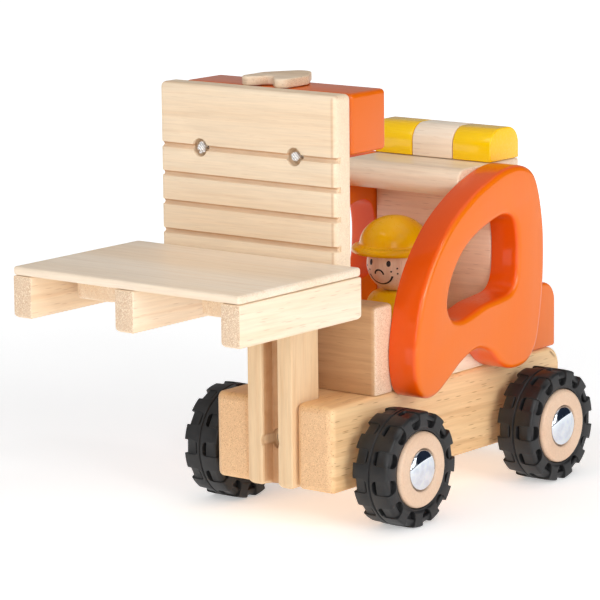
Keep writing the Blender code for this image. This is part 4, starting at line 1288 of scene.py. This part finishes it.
def build_cap(wheel, side, y, z):
    """Domed chrome cap, hollow over the axle's end."""
    low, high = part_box(f"axle_cap_{wheel}")
    rim_r = (high.z - low.z) / 2
    height = high.x - low.x
    bore = AXLE_R + GAP
    profile = [(0, CAP_BORE), (bore, CAP_BORE), (bore, 0), (rim_r - 0.2 * MM, 0), (rim_r, 0.2 * MM)]
    profile += [(rim_r, CAP_RIM - 0.3 * MM), (rim_r - 0.1 * MM, CAP_RIM)]
    for degrees in range(12, 90, 6):
        turn = math.radians(degrees)
        profile.append(((rim_r - 0.2 * MM) * math.cos(turn), CAP_RIM + (height - CAP_RIM) * math.sin(turn)))
    profile.append((0, height))
    seat = low.x if side > 0 else high.x
    cap = turned(f"chrome_cap_{wheel}", [(r, side * a) for r, a in profile], (seat, y, z), "X", 96)
    done(cap, CHROME, "chassis", "chrome_steel", f"axle_cap_{wheel}")


# ---------------------------------------------------------------- floor, light and camera

# name, place, what it looks at, size in metres, power in watts
LIGHTS = (
    ("key", (2.0, -0.3, 0.85), (0, 0, 0.09), 1.2, 16),
    ("fill", (-0.5, -1.7, 1.9), (0, 0, 0.1), 1.3, 13.5),
    ("front", (1.2, -2.0, 0.75), (0, 0, 0.1), 1.0, 8.2),
    ("top", (0.3, 0.4, 2.2), (0, 0, 0), 1.4, 3),
    ("glint_low", (1.7, -0.7, 0.75), (0, 0, 0.1), 0.3, 3.6),
    ("glint_high", (1.3, -0.5, 1.8), (0, 0, 0.1), 0.16, 2.2),
)


def build_stage():
    """White floor that glows a little more away from the truck, like a lit sweep."""
    rest()
    bpy.ops.mesh.primitive_plane_add(size=24, location=(0, 0, 0))
    floor = bpy.context.object
    floor.name = "studio_floor"
    finish, tree, shader = new_finish("floor_white", Roughness=0.8)
    shader.inputs["Base Color"].default_value = srgb(250, 250, 250)
    shader.inputs["Emission Color"].default_value = (1.0, 1.0, 1.0, 1.0)
    point = add(tree, "TexCoord").outputs["Object"]
    reach = add(tree, "VectorMath", {0: point}, operation="LENGTH").outputs["Value"]
    tree.links.new(ramp(tree, reach, 0.25, 1.0, 0.4, 0.75), shader.inputs["Emission Strength"])
    floor.data.materials.append(finish)


def build_lights():
    """Soft boxes, and a white surround with one dark patch that only the metal reflects."""
    for name, place, aim, size, power in LIGHTS:
        light = bpy.data.lights.new(name, "AREA")
        light.shape = "SQUARE"
        light.size = size
        light.energy = power
        lamp = bpy.data.objects.new(name, light)
        lamp.location = place
        lamp.rotation_euler = (Vector(aim) - Vector(place)).to_track_quat("-Z", "Y").to_euler()
        bpy.context.scene.collection.objects.link(lamp)
    world = bpy.data.worlds.new("studio")
    world.use_nodes = True
    tree = world.node_tree
    tree.nodes["Background"].inputs["Strength"].default_value = 0.34
    way = add(tree, "TexCoord").outputs["Generated"]
    dark_way = Vector((0.6, 0.7, 0.42)).normalized()
    towards = add(tree, "VectorMath", {0: way, 1: dark_way}, operation="DOT_PRODUCT").outputs["Value"]
    seen = add(tree, "LightPath").outputs["Is Camera Ray"]
    patch = maths(tree, "MULTIPLY", ramp(tree, towards, 0.80, 0.84), maths(tree, "SUBTRACT", 1.0, seen))
    colour = blended(tree, patch, (1.0, 1.0, 1.0, 1.0), srgb(66, 78, 100))
    tree.links.new(colour, tree.nodes["Background"].inputs["Color"])
    bpy.context.scene.world = world
    bpy.context.scene.view_settings.view_transform = "Standard"


def build_camera():
    """The camera stands front left of the truck, a little above it, with a long lens."""
    azimuth, elevation, roll = math.radians(38.145), math.radians(10.482), math.radians(-0.577)
    target = Vector((-0.0165, 0.0032, 0.0890))
    distance = 1.5475
    back = Vector((math.sin(azimuth) * math.cos(elevation), -math.cos(azimuth) * math.cos(elevation),
                   math.sin(elevation)))
    camera = bpy.data.objects.new("camera", bpy.data.cameras.new("camera"))
    camera.data.lens = 214.25
    camera.location = target + back * distance
    level = (-back).to_track_quat("-Z", "Y").to_matrix()
    camera.rotation_euler = (level @ Matrix.Rotation(roll, 3, "Z")).to_euler()
    bpy.context.scene.collection.objects.link(camera)
    bpy.context.scene.camera = camera


build_camera()
build_lights()
build_stage()
build_chassis()
build_mast()
build_head_block()
build_winder()
build_plate()
build_forks()
build_knots()
build_lift_cords()
build_pallet()
build_cab_blocks()
build_roof()
build_side_panels()
build_driver()
build_wheels()
